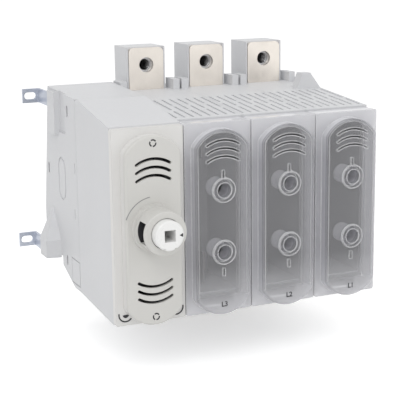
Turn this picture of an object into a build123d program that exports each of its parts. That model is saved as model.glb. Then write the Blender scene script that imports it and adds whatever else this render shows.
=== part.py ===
from build123d import *
from math import atan2, cos, degrees, radians, sin, sqrt
import os

# Fuse switch disconnector: one drive module on the left and three fused poles beside it.
# X runs to the right, Y from the viewer towards the mounting panel, Z up.
# The origin lies on the mounting plane, midway between the two lower bracket slots.

# Layout of the modules
pole_count = 3
pole_pitch = 66.0
drive_width = 67.0
seam = 0.4
front_depth = 205.0
rear_gap = 5.0
frame_height = 175.0
frame_drop = 36.0
wall = 3.0
running_gap = 0.3
loose_gap = 0.5

# Arched panel that stands proud of every front cover
panel_raise = 12.0
panel_width = 52.0
panel_radius = 30.0
panel_top_height = 169.4
panel_bottom_height = 0.7
panel_corner = 6.0
panel_edge = 2.0

# Curved vent slots
vent_count = 3
vent_pitch = 7.2
vent_chord = 31.0
vent_rise = 4.4
vent_slot = 2.6
drive_vent_top_height = 149.3
drive_vent_bottom_height = 21.6
cover_vent_top_height = 160.1
cover_vent_slot = 1.6

# Drive module
drive_cover_depth = 6.0
case_seam_depth = 95.0
ridge_depth = 86.0
ridge_rise = 15.0
case_rear_top_depth = 178.0
case_rear_top_height = 194.0
case_back_slope_height = 70.0
case_foot_depth = 148.0
case_foot_height = 29.0
case_keel_depth = 112.0
case_keel_height = 6.0
case_edge = 2.5
flare_reach = 14.5
flare_rear_depth = 176.0
flare_length = 24.0
flare_slope = 3.0
flare_foot_height = 26.5
flare_flat_height = 44.0
flare_apex_height = 74.0
flare_apex_length = 3.0
pocket_reach = 4.0
pocket_depth = 147.0
pocket_rear_depth = 168.0
pocket_foot_height = 150.0
pocket_slack = 0.2

# Rotary drive at the front
drive_height = 89.0
collar_reach = 38.0
collar_diameter = 38.6
collar_base_diameter = 43.0
collar_base_length = 6.0
collar_window_height = 19.0
collar_window_length = 14.0
collar_rim = 3.5
collar_edge = 1.0
coupler_reach = 47.0
coupler_diameter = 26.0
coupler_flange_diameter = 33.0
coupler_flange_length = 5.0
coupler_notch = 2.4
socket_square = 10.0
socket_depth = 26.0
socket_fit = 0.1
shaft_diameter = 14.0
shaft_fit = 0.05

# Crank, yoke and springs
frame_plate_depth = 60.0
frame_thickness = 3.0
frame_half_height = 73.0
frame_reach = 64.0
bush_wall = 3.0
bush_length = 9.0
crank_depth = 90.0
crank_thickness = 5.0
crank_diameter = 52.0
crank_hub_diameter = 24.0
crank_hub_length = 12.0
crank_throw = 20.0
crank_pin_diameter = 8.0
half_swing = 45.0
yoke_depth = 99.0
yoke_thickness = 4.0
yoke_width = 52.0
yoke_margin = 8.0
yoke_play = 0.8
rod_spread = 19.0
rod_depth = 111.0
rod_diameter = 6.0
block_offset = 26.0
block_size = 12.0
block_height = 16.0
spring_wire = 1.4
spring_coil_radius = 4.6
spring_turns = 8

# Contact rollers that run across all poles
roller_depth = 145.0
roller_offset = 45.0
roller_diameter = 22.0
journal_diameter = 10.0
lever_thickness = 5.0
lever_width = 14.0
lever_pin_diameter = 6.0
lug_thickness = 3.0
lug_offset = 12.5
lug_reach = 35.5

# Pole housings
cover_depth = 18.0
shoulder_depth = 105.0
shoulder_rise = 9.0
rear_rise = 11.0
partition_depth = 90.0
partition_thickness = 4.0
groove_count = 8
groove_width = 2.4
groove_deep = 1.9
groove_row_gap = 5.0
groove_start_gap = 6.0
groove_long_share = 0.62
side_tab_reach = 2.5
side_tab_width = 8.0
side_tab_length = 17.0
side_tab_height = 53.5
end_ear_width = 27.0
end_ear_height = 15.5
end_ear_slope = 6.0
end_ear_thickness = 12.0

# Terminals
terminal_width = 37.0
terminal_thickness = 4.0
terminal_depth = 167.0
terminal_tip_height = 227.0
terminal_hole_height = 210.0
terminal_foot_height = 164.0
terminal_corner = 5.0
terminal_hole_diameter = 15.0
terminal_block_width = 40.5
terminal_block_rear_gap = 2.0
terminal_block_lip = 1.0
nut_size = 22.0
nut_thickness = 12.0
nut_bore = 12.0
barrier_slot = 2.4
holder_width = 7.0
holder_length = 20.0
holder_height = 10.0

# Contacts
blade_half_length = 28.0
blade_width = 12.0
blade_thickness = 3.0
blade_edge = 1.0
knife_thickness = 5.0
knife_overlap = 6.0
knife_height = 13.0
knife_margin = 8.0
jaw_height = 149.0
jaw_length = 30.0
jaw_reach = 38.0
jaw_gap = 6.4
jaw_cheek = 2.5
jaw_plate_width = 20.0
jaw_plate_thickness = 4.0
jaw_lip = 5.0
jaw_flare = 2.5
jaw_plate_margin = 2.0
jaw_spring_thickness = 1.2
jaw_spring_length = 24.0
jaw_spring_height = 20.0
arc_plate_count = 3
arc_plate_thickness = 1.5
arc_plate_inner = 21.0
arc_plate_outer = 36.0
arc_plate_first = 115.0
arc_plate_step = 20.0
arc_plate_slot = 13.6

# Fuse compartment liner
tray_wall = 2.0
tray_setback = 2.0
tray_opening = 18.0
tray_opening_margin = 2.0
tray_bottom_height = 12.0
tray_top_height = 168.0

# Clear fuse covers
cover_gap = 1.0
cover_wall = 2.2
port_upper_height = 115.5
port_lower_height = 58.9
port_diameter = 18.0
port_bore = 13.4
port_proud = 1.5
port_rear_depth = 7.0
port_rim = 2.0
cover_cut_height = 12.0
gauge_slot_width = 1.8
gauge_slot_height = 7.0
gauge_slot_heights = (129.6, 40.4)
hinge_depth = 8.0
hinge_height = 5.0
hinge_pin_diameter = 4.0
hinge_fit = 0.1
hinge_ear_width = 5.0
hinge_ear_radius = 4.2
hinge_bar_margin = 1.0
hinge_bar_root = 2.0

# Mounting brackets
bracket_thickness = 2.5
bracket_height = 14.0
bracket_plate_width = 18.3
upper_bracket_height = 182.0
lower_bracket_height = 36.0
lower_leg_reach = 9.8
lower_leg_grip = 14.0
bracket_slot_width = 7.0
bracket_slot_length = 12.0
bracket_slot_inset = 7.7

# Tie rods that clamp the modules together
tie_rod_diameter = 6.0
tie_rod_fit = 0.4
tie_nut_diameter = 11.0
tie_nut_length = 5.0
tie_rod_proud = 2.0
tie_rod_depths_and_heights = [(176.0, 150.0), (190.0, 40.0), (102.0, 172.0)]

# Places that follow from the sizes
body_width = drive_width + pole_count * pole_pitch
left_x = -body_width / 2
right_x = body_width / 2
drive_x = left_x + drive_width / 2
drive_right_x = left_x + drive_width - seam
front_y = -front_depth
rear_y = -rear_gap
bottom_z = -frame_drop
top_z = bottom_z + frame_height
middle_z = bottom_z + frame_height / 2
drive_z = bottom_z + drive_height
panel_y = front_y - panel_raise
roller_y = front_y + roller_depth
roller_zs = {"upper": drive_z + roller_offset, "lower": drive_z - roller_offset}
shoulder_y = front_y + shoulder_depth
throw_side = crank_throw * cos(radians(half_swing))
throw_lift = crank_throw * sin(radians(half_swing))
pole_xs = [left_x + drive_width + (index + 0.5) * pole_pitch for index in range(pole_count)]
pole_half = (pole_pitch - seam) / 2
pole_inner = pole_half - wall
terminal_y = front_y + terminal_depth
partition_y = front_y + partition_depth
flare_rear_y = front_y + flare_rear_depth
lower_bracket_z = bottom_z + lower_bracket_height
tie_rod_places = [(front_y + depth, bottom_z + height) for depth, height in tie_rod_depths_and_heights]

os.makedirs("parts", exist_ok=True)


def save(piece, label):
    """Name a finished piece and write it to its own file."""
    piece.part.label = label
    export_step(piece.part, f"parts/{label}.step")


def facing(y):
    """Sketch plane at depth y that looks at the viewer, with X to the right and Z up."""
    return Plane.XZ.offset(-y)


def mirrored(z):
    """The height that lies as far below the middle of the front frame as z lies above it."""
    return 2 * middle_z - z


def panel_outline(x, inset=0.0):
    """Arched outline of the raised panel, drawn in a sketch that faces the viewer."""
    half = panel_width / 2 - inset
    radius = panel_radius - inset
    drop = radius - sqrt(radius**2 - half**2)
    top = bottom_z + panel_top_height - inset
    bottom = bottom_z + panel_bottom_height + inset
    with BuildLine() as outline:
        Line((x - half, bottom + drop), (x - half, top - drop))
        ThreePointArc((x - half, top - drop), (x, top), (x + half, top - drop))
        Line((x + half, top - drop), (x + half, bottom + drop))
        ThreePointArc((x + half, bottom + drop), (x, bottom), (x - half, bottom + drop))
    face = make_face(outline.edges())
    fillet(face.vertices(), panel_corner - inset / 2)


def vent_slots(x, peak_z, rise, width):
    """A stack of curved slots; a negative rise bends them downwards."""
    for index in range(vent_count):
        z = peak_z - index * vent_pitch
        ends = [(x - vent_chord / 2, z - rise, 0), (x + vent_chord / 2, z - rise, 0)]
        arc = Edge.make_three_point_arc(ends[0], (x, z, 0), ends[1])
        SlotArc(arc, width)


def pole_top(y):
    """Height of a pole's top face at depth y: a sloping ribbed part, then a flatter shelf."""
    if y < shoulder_y:
        return top_z + shoulder_rise * (y - front_y) / shoulder_depth
    return top_z + shoulder_rise + (rear_rise - shoulder_rise) * (y - shoulder_y) / (rear_y - shoulder_y)


def pole_profile(y_start, y_end, inset=0.0):
    """Side outline of a pole between two depths, the same above and below its middle."""
    depths = [y_start, y_end]
    if y_start < shoulder_y < y_end:
        depths = [y_start, shoulder_y, y_end]
    upper = [(y, pole_top(y) - inset) for y in depths]
    lower = [(y, mirrored(z)) for y, z in reversed(upper)]
    with BuildLine() as outline:
        Polyline(*upper, *lower, close=True)
    make_face(outline.edges())


def drive_outline(depths_and_heights):
    """Side outline of a drive module shell from depths behind and heights above the front frame's foot."""
    points = [(front_y + depth, bottom_z + height) for depth, height in depths_and_heights]
    with BuildLine() as outline:
        Polyline(*points, close=True)
    make_face(outline.edges())


def flare_section(side_x, direction, reach, length, slope, height):
    """Level section of the flared boss on a side wall, at a height above the front frame's foot."""
    outer_x = side_x + direction * reach
    with BuildSketch(Plane.XY.offset(bottom_z + height), mode=Mode.PRIVATE) as section:
        with BuildLine() as outline:
            Polyline(
                (side_x, flare_rear_y),
                (outer_x, flare_rear_y),
                (outer_x, flare_rear_y - length + slope),
                (side_x, flare_rear_y - length),
                close=True,
            )
        make_face(outline.edges())
    return section.sketch.face()


def foot_flare(side_x, direction):
    """Flared boss on a side wall, slotted from the rear for the lower bracket's leg."""
    base = flare_section(side_x, direction, flare_reach, flare_length, flare_slope, flare_foot_height)
    waist = flare_section(side_x, direction, flare_reach, flare_length, flare_slope, flare_flat_height)
    apex = flare_section(side_x, direction, seam, flare_apex_length, seam, flare_apex_height)
    extrude(base, amount=flare_flat_height - flare_foot_height, dir=(0, 0, 1))
    loft([waist, apex])
    slot_x = side_x + direction * (lower_leg_reach + bracket_thickness / 2)
    slot_length = lower_leg_grip + pocket_slack
    with Locations((slot_x, flare_rear_y - slot_length / 2, lower_bracket_z)):
        Box(
            bracket_thickness + 2 * pocket_slack,
            slot_length,
            bracket_height + 2 * pocket_slack,
            mode=Mode.SUBTRACT,
        )


def bracket_pocket(side_x, direction, top):
    """Moulded pocket on a side wall, open to the rear, that holds the upper bracket's leg."""
    foot = bottom_z + pocket_foot_height
    pocket_y = front_y + pocket_depth
    rear = front_y + pocket_rear_depth
    leg_z = bottom_z + upper_bracket_height
    with Locations((side_x + direction * pocket_reach / 2, (pocket_y + rear) / 2, (foot + top) / 2)):
        Box(pocket_reach, rear - pocket_y, top - foot)
    hollow = bracket_thickness + 2 * pocket_slack
    hollow_y = pocket_y + wall
    with Locations((side_x + direction * hollow / 2, (hollow_y + rear) / 2, leg_z)):
        Box(hollow, rear - hollow_y, bracket_height + 2 * pocket_slack, mode=Mode.SUBTRACT)


ridge_height = frame_height + ridge_rise

# Front shell of the drive module, open at the front and back
with BuildPart() as drive_front_case:
    with BuildSketch(Plane.YZ.offset(left_x)):
        drive_outline(
            [
                (drive_cover_depth, 0.0),
                (case_seam_depth, case_keel_height),
                (case_seam_depth, ridge_height),
                (ridge_depth, ridge_height),
                (drive_cover_depth, frame_height + ridge_rise * drive_cover_depth / ridge_depth),
            ]
        )
    extrude(amount=drive_width - seam)
    offset(amount=-wall, openings=faces().filter_by(Axis.Y), kind=Kind.INTERSECTION)
    fillet(edges().filter_by(Axis.Y, tolerance=12).group_by(Axis.X)[0].group_by(Axis.Z)[-1], case_edge)
save(drive_front_case, "drive_front_case")

# Rear shell of the drive module, with the flared boss that carries the lower bracket
slot_places = [(119.0, 176.0, 11.0), (183.0, 112.0, 11.0), (134.0, 28.0, 10.0)]
slit_places = [(101.0, 124.0), (105.0, 80.0)]
side_slot_width = 4.5
side_slit_width = 1.2
side_slit_length = 10.0
relief_depth = 136.5
relief_height = 173.0
relief_width = 20.0
relief_length = 40.0
relief_cut = 2.2
badge_depth = 141.0
badge_height = 108.0
badge_length = 42.0
badge_width = 22.0
badge_line = 2.0
frame_mark_place = (108.0, 22.5)
frame_mark_size = (24.0, 25.0)
badge_cut = 0.8
with BuildPart() as drive_rear_case:
    with BuildSketch(Plane.YZ.offset(left_x)):
        drive_outline(
            [
                (case_seam_depth + seam, case_keel_height),
                (case_keel_depth, case_keel_height),
                (case_foot_depth, case_foot_height - wall * 3),
                (case_foot_depth, case_foot_height),
                (front_depth - rear_gap, case_foot_height),
                (front_depth - rear_gap, case_back_slope_height),
                (case_rear_top_depth, case_rear_top_height),
                (case_seam_depth + seam, ridge_height),
            ]
        )
    extrude(amount=drive_width - seam)
    offset(amount=-wall, openings=faces().sort_by(Axis.Y)[0], kind=Kind.INTERSECTION)
    foot_flare(left_x, -1)
    bracket_pocket(left_x, -1, bottom_z + case_rear_top_height - wall)
    with BuildSketch(Plane.YZ.offset(left_x)):
        for depth, height, length in slot_places:
            with Locations((front_y + depth, bottom_z + height)):
                SlotOverall(length, side_slot_width, rotation=90)
        for depth, height in slit_places:
            with Locations((front_y + depth, bottom_z + height)):
                SlotOverall(side_slit_length, side_slit_width, rotation=90)
    extrude(amount=wall, mode=Mode.SUBTRACT)
    with BuildSketch(Plane.YZ.offset(left_x)):
        with Locations((front_y + relief_depth, bottom_z + relief_height)):
            Rectangle(relief_width, relief_length)
    extrude(amount=relief_cut, mode=Mode.SUBTRACT)
    with BuildSketch(Plane.YZ.offset(left_x)):
        with Locations((front_y + badge_depth, bottom_z + badge_height)):
            SlotOverall(badge_length, badge_width, rotation=90)
            SlotOverall(
                badge_length - 2 * badge_line, badge_width - 2 * badge_line, rotation=90, mode=Mode.SUBTRACT
            )
        with Locations((front_y + frame_mark_place[0], bottom_z + frame_mark_place[1])):
            Rectangle(*frame_mark_size)
            Rectangle(*[side - badge_line for side in frame_mark_size], mode=Mode.SUBTRACT)
    extrude(amount=badge_cut, mode=Mode.SUBTRACT)
    with BuildSketch(Plane.YZ.offset(left_x + wall)):
        with Locations(*[(roller_y, z) for z in roller_zs.values()]):
            Circle(journal_diameter / 2 + bush_wall * 2)
            Circle(journal_diameter / 2 + bush_wall, mode=Mode.SUBTRACT)
    extrude(amount=lever_thickness)
    with BuildSketch(Plane.YZ.offset(drive_right_x - wall)):
        with Locations(*[(roller_y, z) for z in roller_zs.values()]):
            Circle(roller_diameter / 2 + loose_gap)
        with Locations(*tie_rod_places):
            Circle((tie_rod_diameter + tie_rod_fit) / 2)
    extrude(amount=wall, mode=Mode.SUBTRACT)
save(drive_rear_case, "drive_rear_case")

# Front cover of the drive module, with the raised panel, the vents and the collar
collar_front_y = front_y - collar_reach
with BuildPart() as drive_cover:
    with BuildSketch(facing(front_y + drive_cover_depth)):
        with Locations((drive_x - seam / 2, middle_z)):
            RectangleRounded(drive_width - seam, frame_height, panel_edge)
    extrude(amount=drive_cover_depth)
    with BuildSketch(facing(front_y)):
        panel_outline(drive_x)
    extrude(amount=panel_raise)
    fillet(faces().sort_by(Axis.Y)[0].edges(), panel_edge)
    with BuildSketch(facing(front_y + drive_cover_depth)):
        with Locations((drive_x - seam / 2, middle_z)):
            Rectangle(drive_width - seam - 2 * wall, frame_height - 2 * wall)
    extrude(amount=drive_cover_depth - wall, mode=Mode.SUBTRACT)
    with BuildSketch(facing(front_y + wall)):
        panel_outline(drive_x, inset=wall)
    extrude(amount=panel_raise, mode=Mode.SUBTRACT)
    with BuildSketch(facing(panel_y)):
        with Locations((drive_x, drive_z)):
            Circle(collar_base_diameter / 2)
    extrude(amount=collar_base_length)
    with BuildSketch(facing(panel_y)):
        with Locations((drive_x, drive_z)):
            Circle(collar_diameter / 2)
    extrude(amount=collar_reach - panel_raise)
    fillet(faces().sort_by(Axis.Y)[0].edges(), collar_edge)
    with BuildSketch(facing(panel_y + wall)):
        with Locations((drive_x, drive_z)):
            Circle(coupler_diameter / 2 + loose_gap)
    extrude(amount=collar_reach, mode=Mode.SUBTRACT)
    window_y = collar_front_y + collar_rim + collar_window_length / 2
    with Locations((drive_x - collar_diameter / 2, window_y, drive_z)):
        Box(collar_diameter / 2, collar_window_length, collar_window_height, mode=Mode.SUBTRACT)
    with BuildSketch(facing(panel_y)):
        vent_slots(drive_x, bottom_z + drive_vent_top_height, vent_rise, vent_slot)
        low_peak = bottom_z + drive_vent_bottom_height + (vent_count - 1) * vent_pitch
        vent_slots(drive_x, low_peak, -vent_rise, vent_slot)
    extrude(amount=-wall * 2, mode=Mode.SUBTRACT)
save(drive_cover, "drive_cover")

# White coupler that takes the square shaft of the outside handle
coupler_front_y = front_y - coupler_reach
coupler_rear_y = panel_y + wall + running_gap
with BuildPart() as shaft_coupler:
    with BuildSketch(facing(coupler_rear_y)):
        with Locations((drive_x, drive_z)):
            Circle(coupler_diameter / 2)
    extrude(amount=coupler_rear_y - coupler_front_y)
    chamfer(faces().sort_by(Axis.Y)[0].edges(), collar_edge)
    with BuildSketch(facing(coupler_rear_y + coupler_flange_length)):
        with Locations((drive_x, drive_z)):
            Circle(coupler_flange_diameter / 2)
    extrude(amount=coupler_flange_length)
    with BuildSketch(facing(coupler_rear_y + coupler_flange_length)):
        with Locations((drive_x, drive_z)):
            Rectangle(socket_square, socket_square)
    extrude(amount=coupler_reach + coupler_flange_length, mode=Mode.SUBTRACT)
    with BuildSketch(facing(coupler_front_y)):
        for side in (-1, 1):
            notch_x = drive_x + side * coupler_diameter / 5
            with Locations((notch_x, drive_z - coupler_diameter / 2)):
                Rectangle(coupler_notch, coupler_notch * 2)
    extrude(amount=-coupler_notch * 2, mode=Mode.SUBTRACT)
save(shaft_coupler, "shaft_coupler")

# Steel drive shaft with a square tang in the coupler
tang_y = coupler_front_y + socket_depth
crank_rear_y = front_y + crank_depth + crank_thickness
shaft_front_y = coupler_rear_y + coupler_flange_length + socket_fit
with BuildPart() as drive_shaft:
    with BuildSketch(facing(crank_rear_y)):
        with Locations((drive_x, drive_z)):
            Circle(shaft_diameter / 2)
    extrude(amount=crank_rear_y - shaft_front_y)
    with BuildSketch(facing(shaft_front_y)):
        with Locations((drive_x, drive_z)):
            Rectangle(socket_square - socket_fit, socket_square - socket_fit)
    extrude(amount=shaft_front_y - tang_y)
save(drive_shaft, "drive_shaft")

# Crank disc on the shaft, with its pin at half past seven when the switch is off
with BuildPart() as crank_disc:
    with BuildSketch(facing(crank_rear_y)):
        with Locations((drive_x, drive_z)):
            Circle(crank_diameter / 2)
    extrude(amount=crank_thickness)
    with BuildSketch(facing(crank_rear_y)):
        with Locations((drive_x, drive_z)):
            Circle(crank_hub_diameter / 2)
    extrude(amount=crank_thickness + crank_hub_length)
    with BuildSketch(facing(crank_rear_y)):
        with Locations((drive_x, drive_z)):
            Circle(shaft_diameter / 2 + shaft_fit)
        with Locations((drive_x - throw_side, drive_z - throw_lift)):
            Circle(crank_pin_diameter / 2 + shaft_fit)
    extrude(amount=crank_thickness + crank_hub_length, mode=Mode.SUBTRACT)
save(crank_disc, "crank_disc")

yoke_y = front_y + yoke_depth
yoke_rear_y = yoke_y + yoke_thickness
with BuildPart() as crank_pin:
    with BuildSketch(facing(yoke_rear_y + running_gap * 4)):
        with Locations((drive_x - throw_side, drive_z - throw_lift)):
            Circle(crank_pin_diameter / 2)
    extrude(amount=yoke_rear_y + running_gap * 4 - (front_y + crank_depth))
save(crank_pin, "crank_pin")

# Folded steel frame that holds the shaft bush and the guide rods
frame_y = front_y + frame_plate_depth
frame_width = drive_width - seam - 2 * wall - 2 * loose_gap
rod_y = front_y + rod_depth
rod_places = [(drive_x - rod_spread, rod_y), (drive_x + rod_spread, rod_y)]
with BuildPart() as drive_frame:
    with BuildSketch(Plane.YZ.offset(drive_x - seam / 2 - frame_width / 2)):
        with BuildLine():
            Polyline(
                (frame_y + frame_reach, drive_z + frame_half_height),
                (frame_y, drive_z + frame_half_height),
                (frame_y, drive_z - frame_half_height),
                (frame_y + frame_reach, drive_z - frame_half_height),
                (frame_y + frame_reach, drive_z - frame_half_height + frame_thickness),
                (frame_y + frame_thickness, drive_z - frame_half_height + frame_thickness),
                (frame_y + frame_thickness, drive_z + frame_half_height - frame_thickness),
                (frame_y + frame_reach, drive_z + frame_half_height - frame_thickness),
                close=True,
            )
        make_face()
    extrude(amount=frame_width)
    with BuildSketch(facing(frame_y + frame_thickness)):
        with Locations((drive_x, drive_z)):
            Circle(shaft_diameter / 2 + bush_wall)
    extrude(amount=frame_thickness, mode=Mode.SUBTRACT)
    with BuildSketch(Plane.XY.offset(drive_z - frame_half_height)):
        with Locations(*rod_places):
            Circle(rod_diameter / 2 + shaft_fit)
    extrude(amount=2 * frame_half_height, mode=Mode.SUBTRACT)
save(drive_frame, "drive_frame")

with BuildPart() as shaft_bush:
    with BuildSketch(facing(frame_y + bush_length)):
        with Locations((drive_x, drive_z)):
            Circle(shaft_diameter / 2 + bush_wall - shaft_fit)
    extrude(amount=bush_length)
    with BuildSketch(facing(frame_y)):
        with Locations((drive_x, drive_z)):
            Circle(shaft_diameter / 2 + 2 * bush_wall)
    extrude(amount=bush_wall)
    with BuildSketch(facing(frame_y + bush_length)):
        with Locations((drive_x, drive_z)):
            Circle(shaft_diameter / 2 + shaft_fit)
    extrude(amount=bush_length + bush_wall, mode=Mode.SUBTRACT)
save(shaft_bush, "shaft_bush")

with BuildPart() as guide_rods:
    with BuildSketch(Plane.XY.offset(drive_z - frame_half_height)):
        with Locations(*rod_places):
            Circle(rod_diameter / 2)
    extrude(amount=2 * frame_half_height)
save(guide_rods, "guide_rods")

# Yoke that the crank lifts: its slots turn both contact rollers
yoke_rest_z = drive_z - throw_lift
roller_rest_zs = {name: z - throw_lift for name, z in roller_zs.items()}
yoke_half_height = roller_offset + yoke_margin
lever_pin_radius = lever_pin_diameter / 2
lug_x = drive_x - lug_offset
with BuildPart() as slide_yoke:
    with BuildSketch(facing(yoke_rear_y)):
        with Locations((drive_x, yoke_rest_z)):
            Rectangle(yoke_width, 2 * yoke_half_height)
        slot_half = crank_pin_diameter / 2 + yoke_play
        slot_middle = (crank_throw + throw_side) / 2
        with Locations((drive_x - slot_middle, yoke_rest_z)):
            SlotCenterToCenter(crank_throw - throw_side, 2 * slot_half, mode=Mode.SUBTRACT)
    extrude(amount=yoke_thickness)
    for x, y in rod_places:
        for side in (-1, 1):
            with Locations((x, (yoke_rear_y + y + block_size / 2) / 2, yoke_rest_z + side * block_offset)):
                Box(block_size, y + block_size / 2 - yoke_rear_y, block_height)
    with BuildSketch(Plane.XY.offset(yoke_rest_z - yoke_half_height)):
        with Locations(*rod_places):
            Circle(rod_diameter / 2 + shaft_fit)
    extrude(amount=2 * yoke_half_height, mode=Mode.SUBTRACT)
    for z in roller_rest_zs.values():
        with BuildSketch(Plane.YZ.offset(lug_x)):
            with Locations((yoke_rear_y + lug_reach / 2, z)):
                Rectangle(lug_reach, 2 * yoke_margin)
            slot_start = roller_y - crank_throw
            slot_end = roller_y - throw_side
            with Locations(((slot_start + slot_end) / 2, z)):
                SlotCenterToCenter(
                    slot_end - slot_start, 2 * (lever_pin_radius + yoke_play), mode=Mode.SUBTRACT
                )
        extrude(amount=lug_thickness)
save(slide_yoke, "slide_yoke")

# Springs above the guide blocks, which drive the yoke back down
spring_seat_z = drive_z + frame_half_height - frame_thickness
spring_foot_z = yoke_rest_z + block_offset + block_height / 2
spring_height = spring_seat_z - spring_foot_z - spring_wire - running_gap
with BuildPart() as return_springs:
    for x, y in rod_places:
        base = (x, y, spring_foot_z + (spring_wire + running_gap) / 2)
        with BuildLine():
            coil = Helix(spring_height / spring_turns, spring_height, spring_coil_radius, center=base)
        with BuildSketch(Plane(origin=coil @ 0, z_dir=coil % 0)):
            Circle(spring_wire / 2)
        sweep(path=coil, is_frenet=True)
save(return_springs, "return_springs")

# Levers, pins and insulating rollers that carry the moving contacts
last_inner_x = pole_xs[-1] + pole_inner
lever_x = lug_x + lug_thickness + running_gap * 5
roller_x = lever_x + lever_thickness
roller_end_x = last_inner_x - lever_thickness - loose_gap
tongue_square = 8.0
tongue_length = 12.0
for name, z in roller_zs.items():
    pin_place = (roller_y - throw_side, z - throw_lift)
    with BuildPart() as roller_lever:
        with BuildSketch(Plane.YZ.offset(lever_x)):
            with Locations(((roller_y + pin_place[0]) / 2, (z + pin_place[1]) / 2)):
                SlotCenterToCenter(crank_throw, lever_width, rotation=half_swing)
            with Locations(pin_place):
                Circle(lever_pin_radius + shaft_fit, mode=Mode.SUBTRACT)
        extrude(amount=lever_thickness)
        with BuildSketch(Plane.YZ.offset(left_x + wall + loose_gap)):
            with Locations((roller_y, z)):
                Circle(journal_diameter / 2)
        extrude(amount=lever_x - left_x - wall - loose_gap)
        with BuildSketch(Plane.YZ.offset(roller_x)):
            with Locations((roller_y, z)):
                Rectangle(tongue_square, tongue_square)
        extrude(amount=tongue_length)
    save(roller_lever, f"{name}_roller_lever")

    with BuildPart() as lever_pin:
        with BuildSketch(Plane.YZ.offset(lug_x - running_gap * 4)):
            with Locations(pin_place):
                Circle(lever_pin_radius)
        extrude(amount=roller_x - lug_x + running_gap * 4)
    save(lever_pin, f"{name}_lever_pin")

    with BuildPart() as contact_roller:
        with BuildSketch(Plane.YZ.offset(roller_x)):
            with Locations((roller_y, z)):
                Circle(roller_diameter / 2)
        extrude(amount=roller_end_x - roller_x)
        with BuildSketch(Plane.YZ.offset(roller_end_x)):
            with Locations((roller_y, z)):
                Circle(journal_diameter / 2)
        extrude(amount=last_inner_x - loose_gap - roller_end_x)
        with BuildSketch(Plane.YZ.offset(roller_x)):
            with Locations((roller_y, z)):
                Rectangle(tongue_square + 2 * shaft_fit, tongue_square + 2 * shaft_fit)
        extrude(amount=tongue_length + running_gap, mode=Mode.SUBTRACT)
        blade_x = knife_thickness / 2 + running_gap + blade_thickness / 2
        for x in pole_xs:
            for side in (-1, 1):
                with Locations((x + side * blade_x, roller_y, z)):
                    Box(
                        blade_thickness + 2 * shaft_fit,
                        roller_diameter + wall,
                        blade_width + 2 * shaft_fit,
                        mode=Mode.SUBTRACT,
                    )
    save(contact_roller, f"{name}_contact_roller")

# Plain bearing bushes at both ends of the rollers
bush_xs = [left_x + wall, last_inner_x - lever_thickness]
with BuildPart() as roller_bushes:
    for x in bush_xs:
        with BuildSketch(Plane.YZ.offset(x)):
            with Locations(*[(roller_y, z) for z in roller_zs.values()]):
                Circle(journal_diameter / 2 + bush_wall - shaft_fit)
                Circle(journal_diameter / 2 + shaft_fit, mode=Mode.SUBTRACT)
        extrude(amount=lever_thickness)
save(roller_bushes, "roller_bushes")

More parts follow.
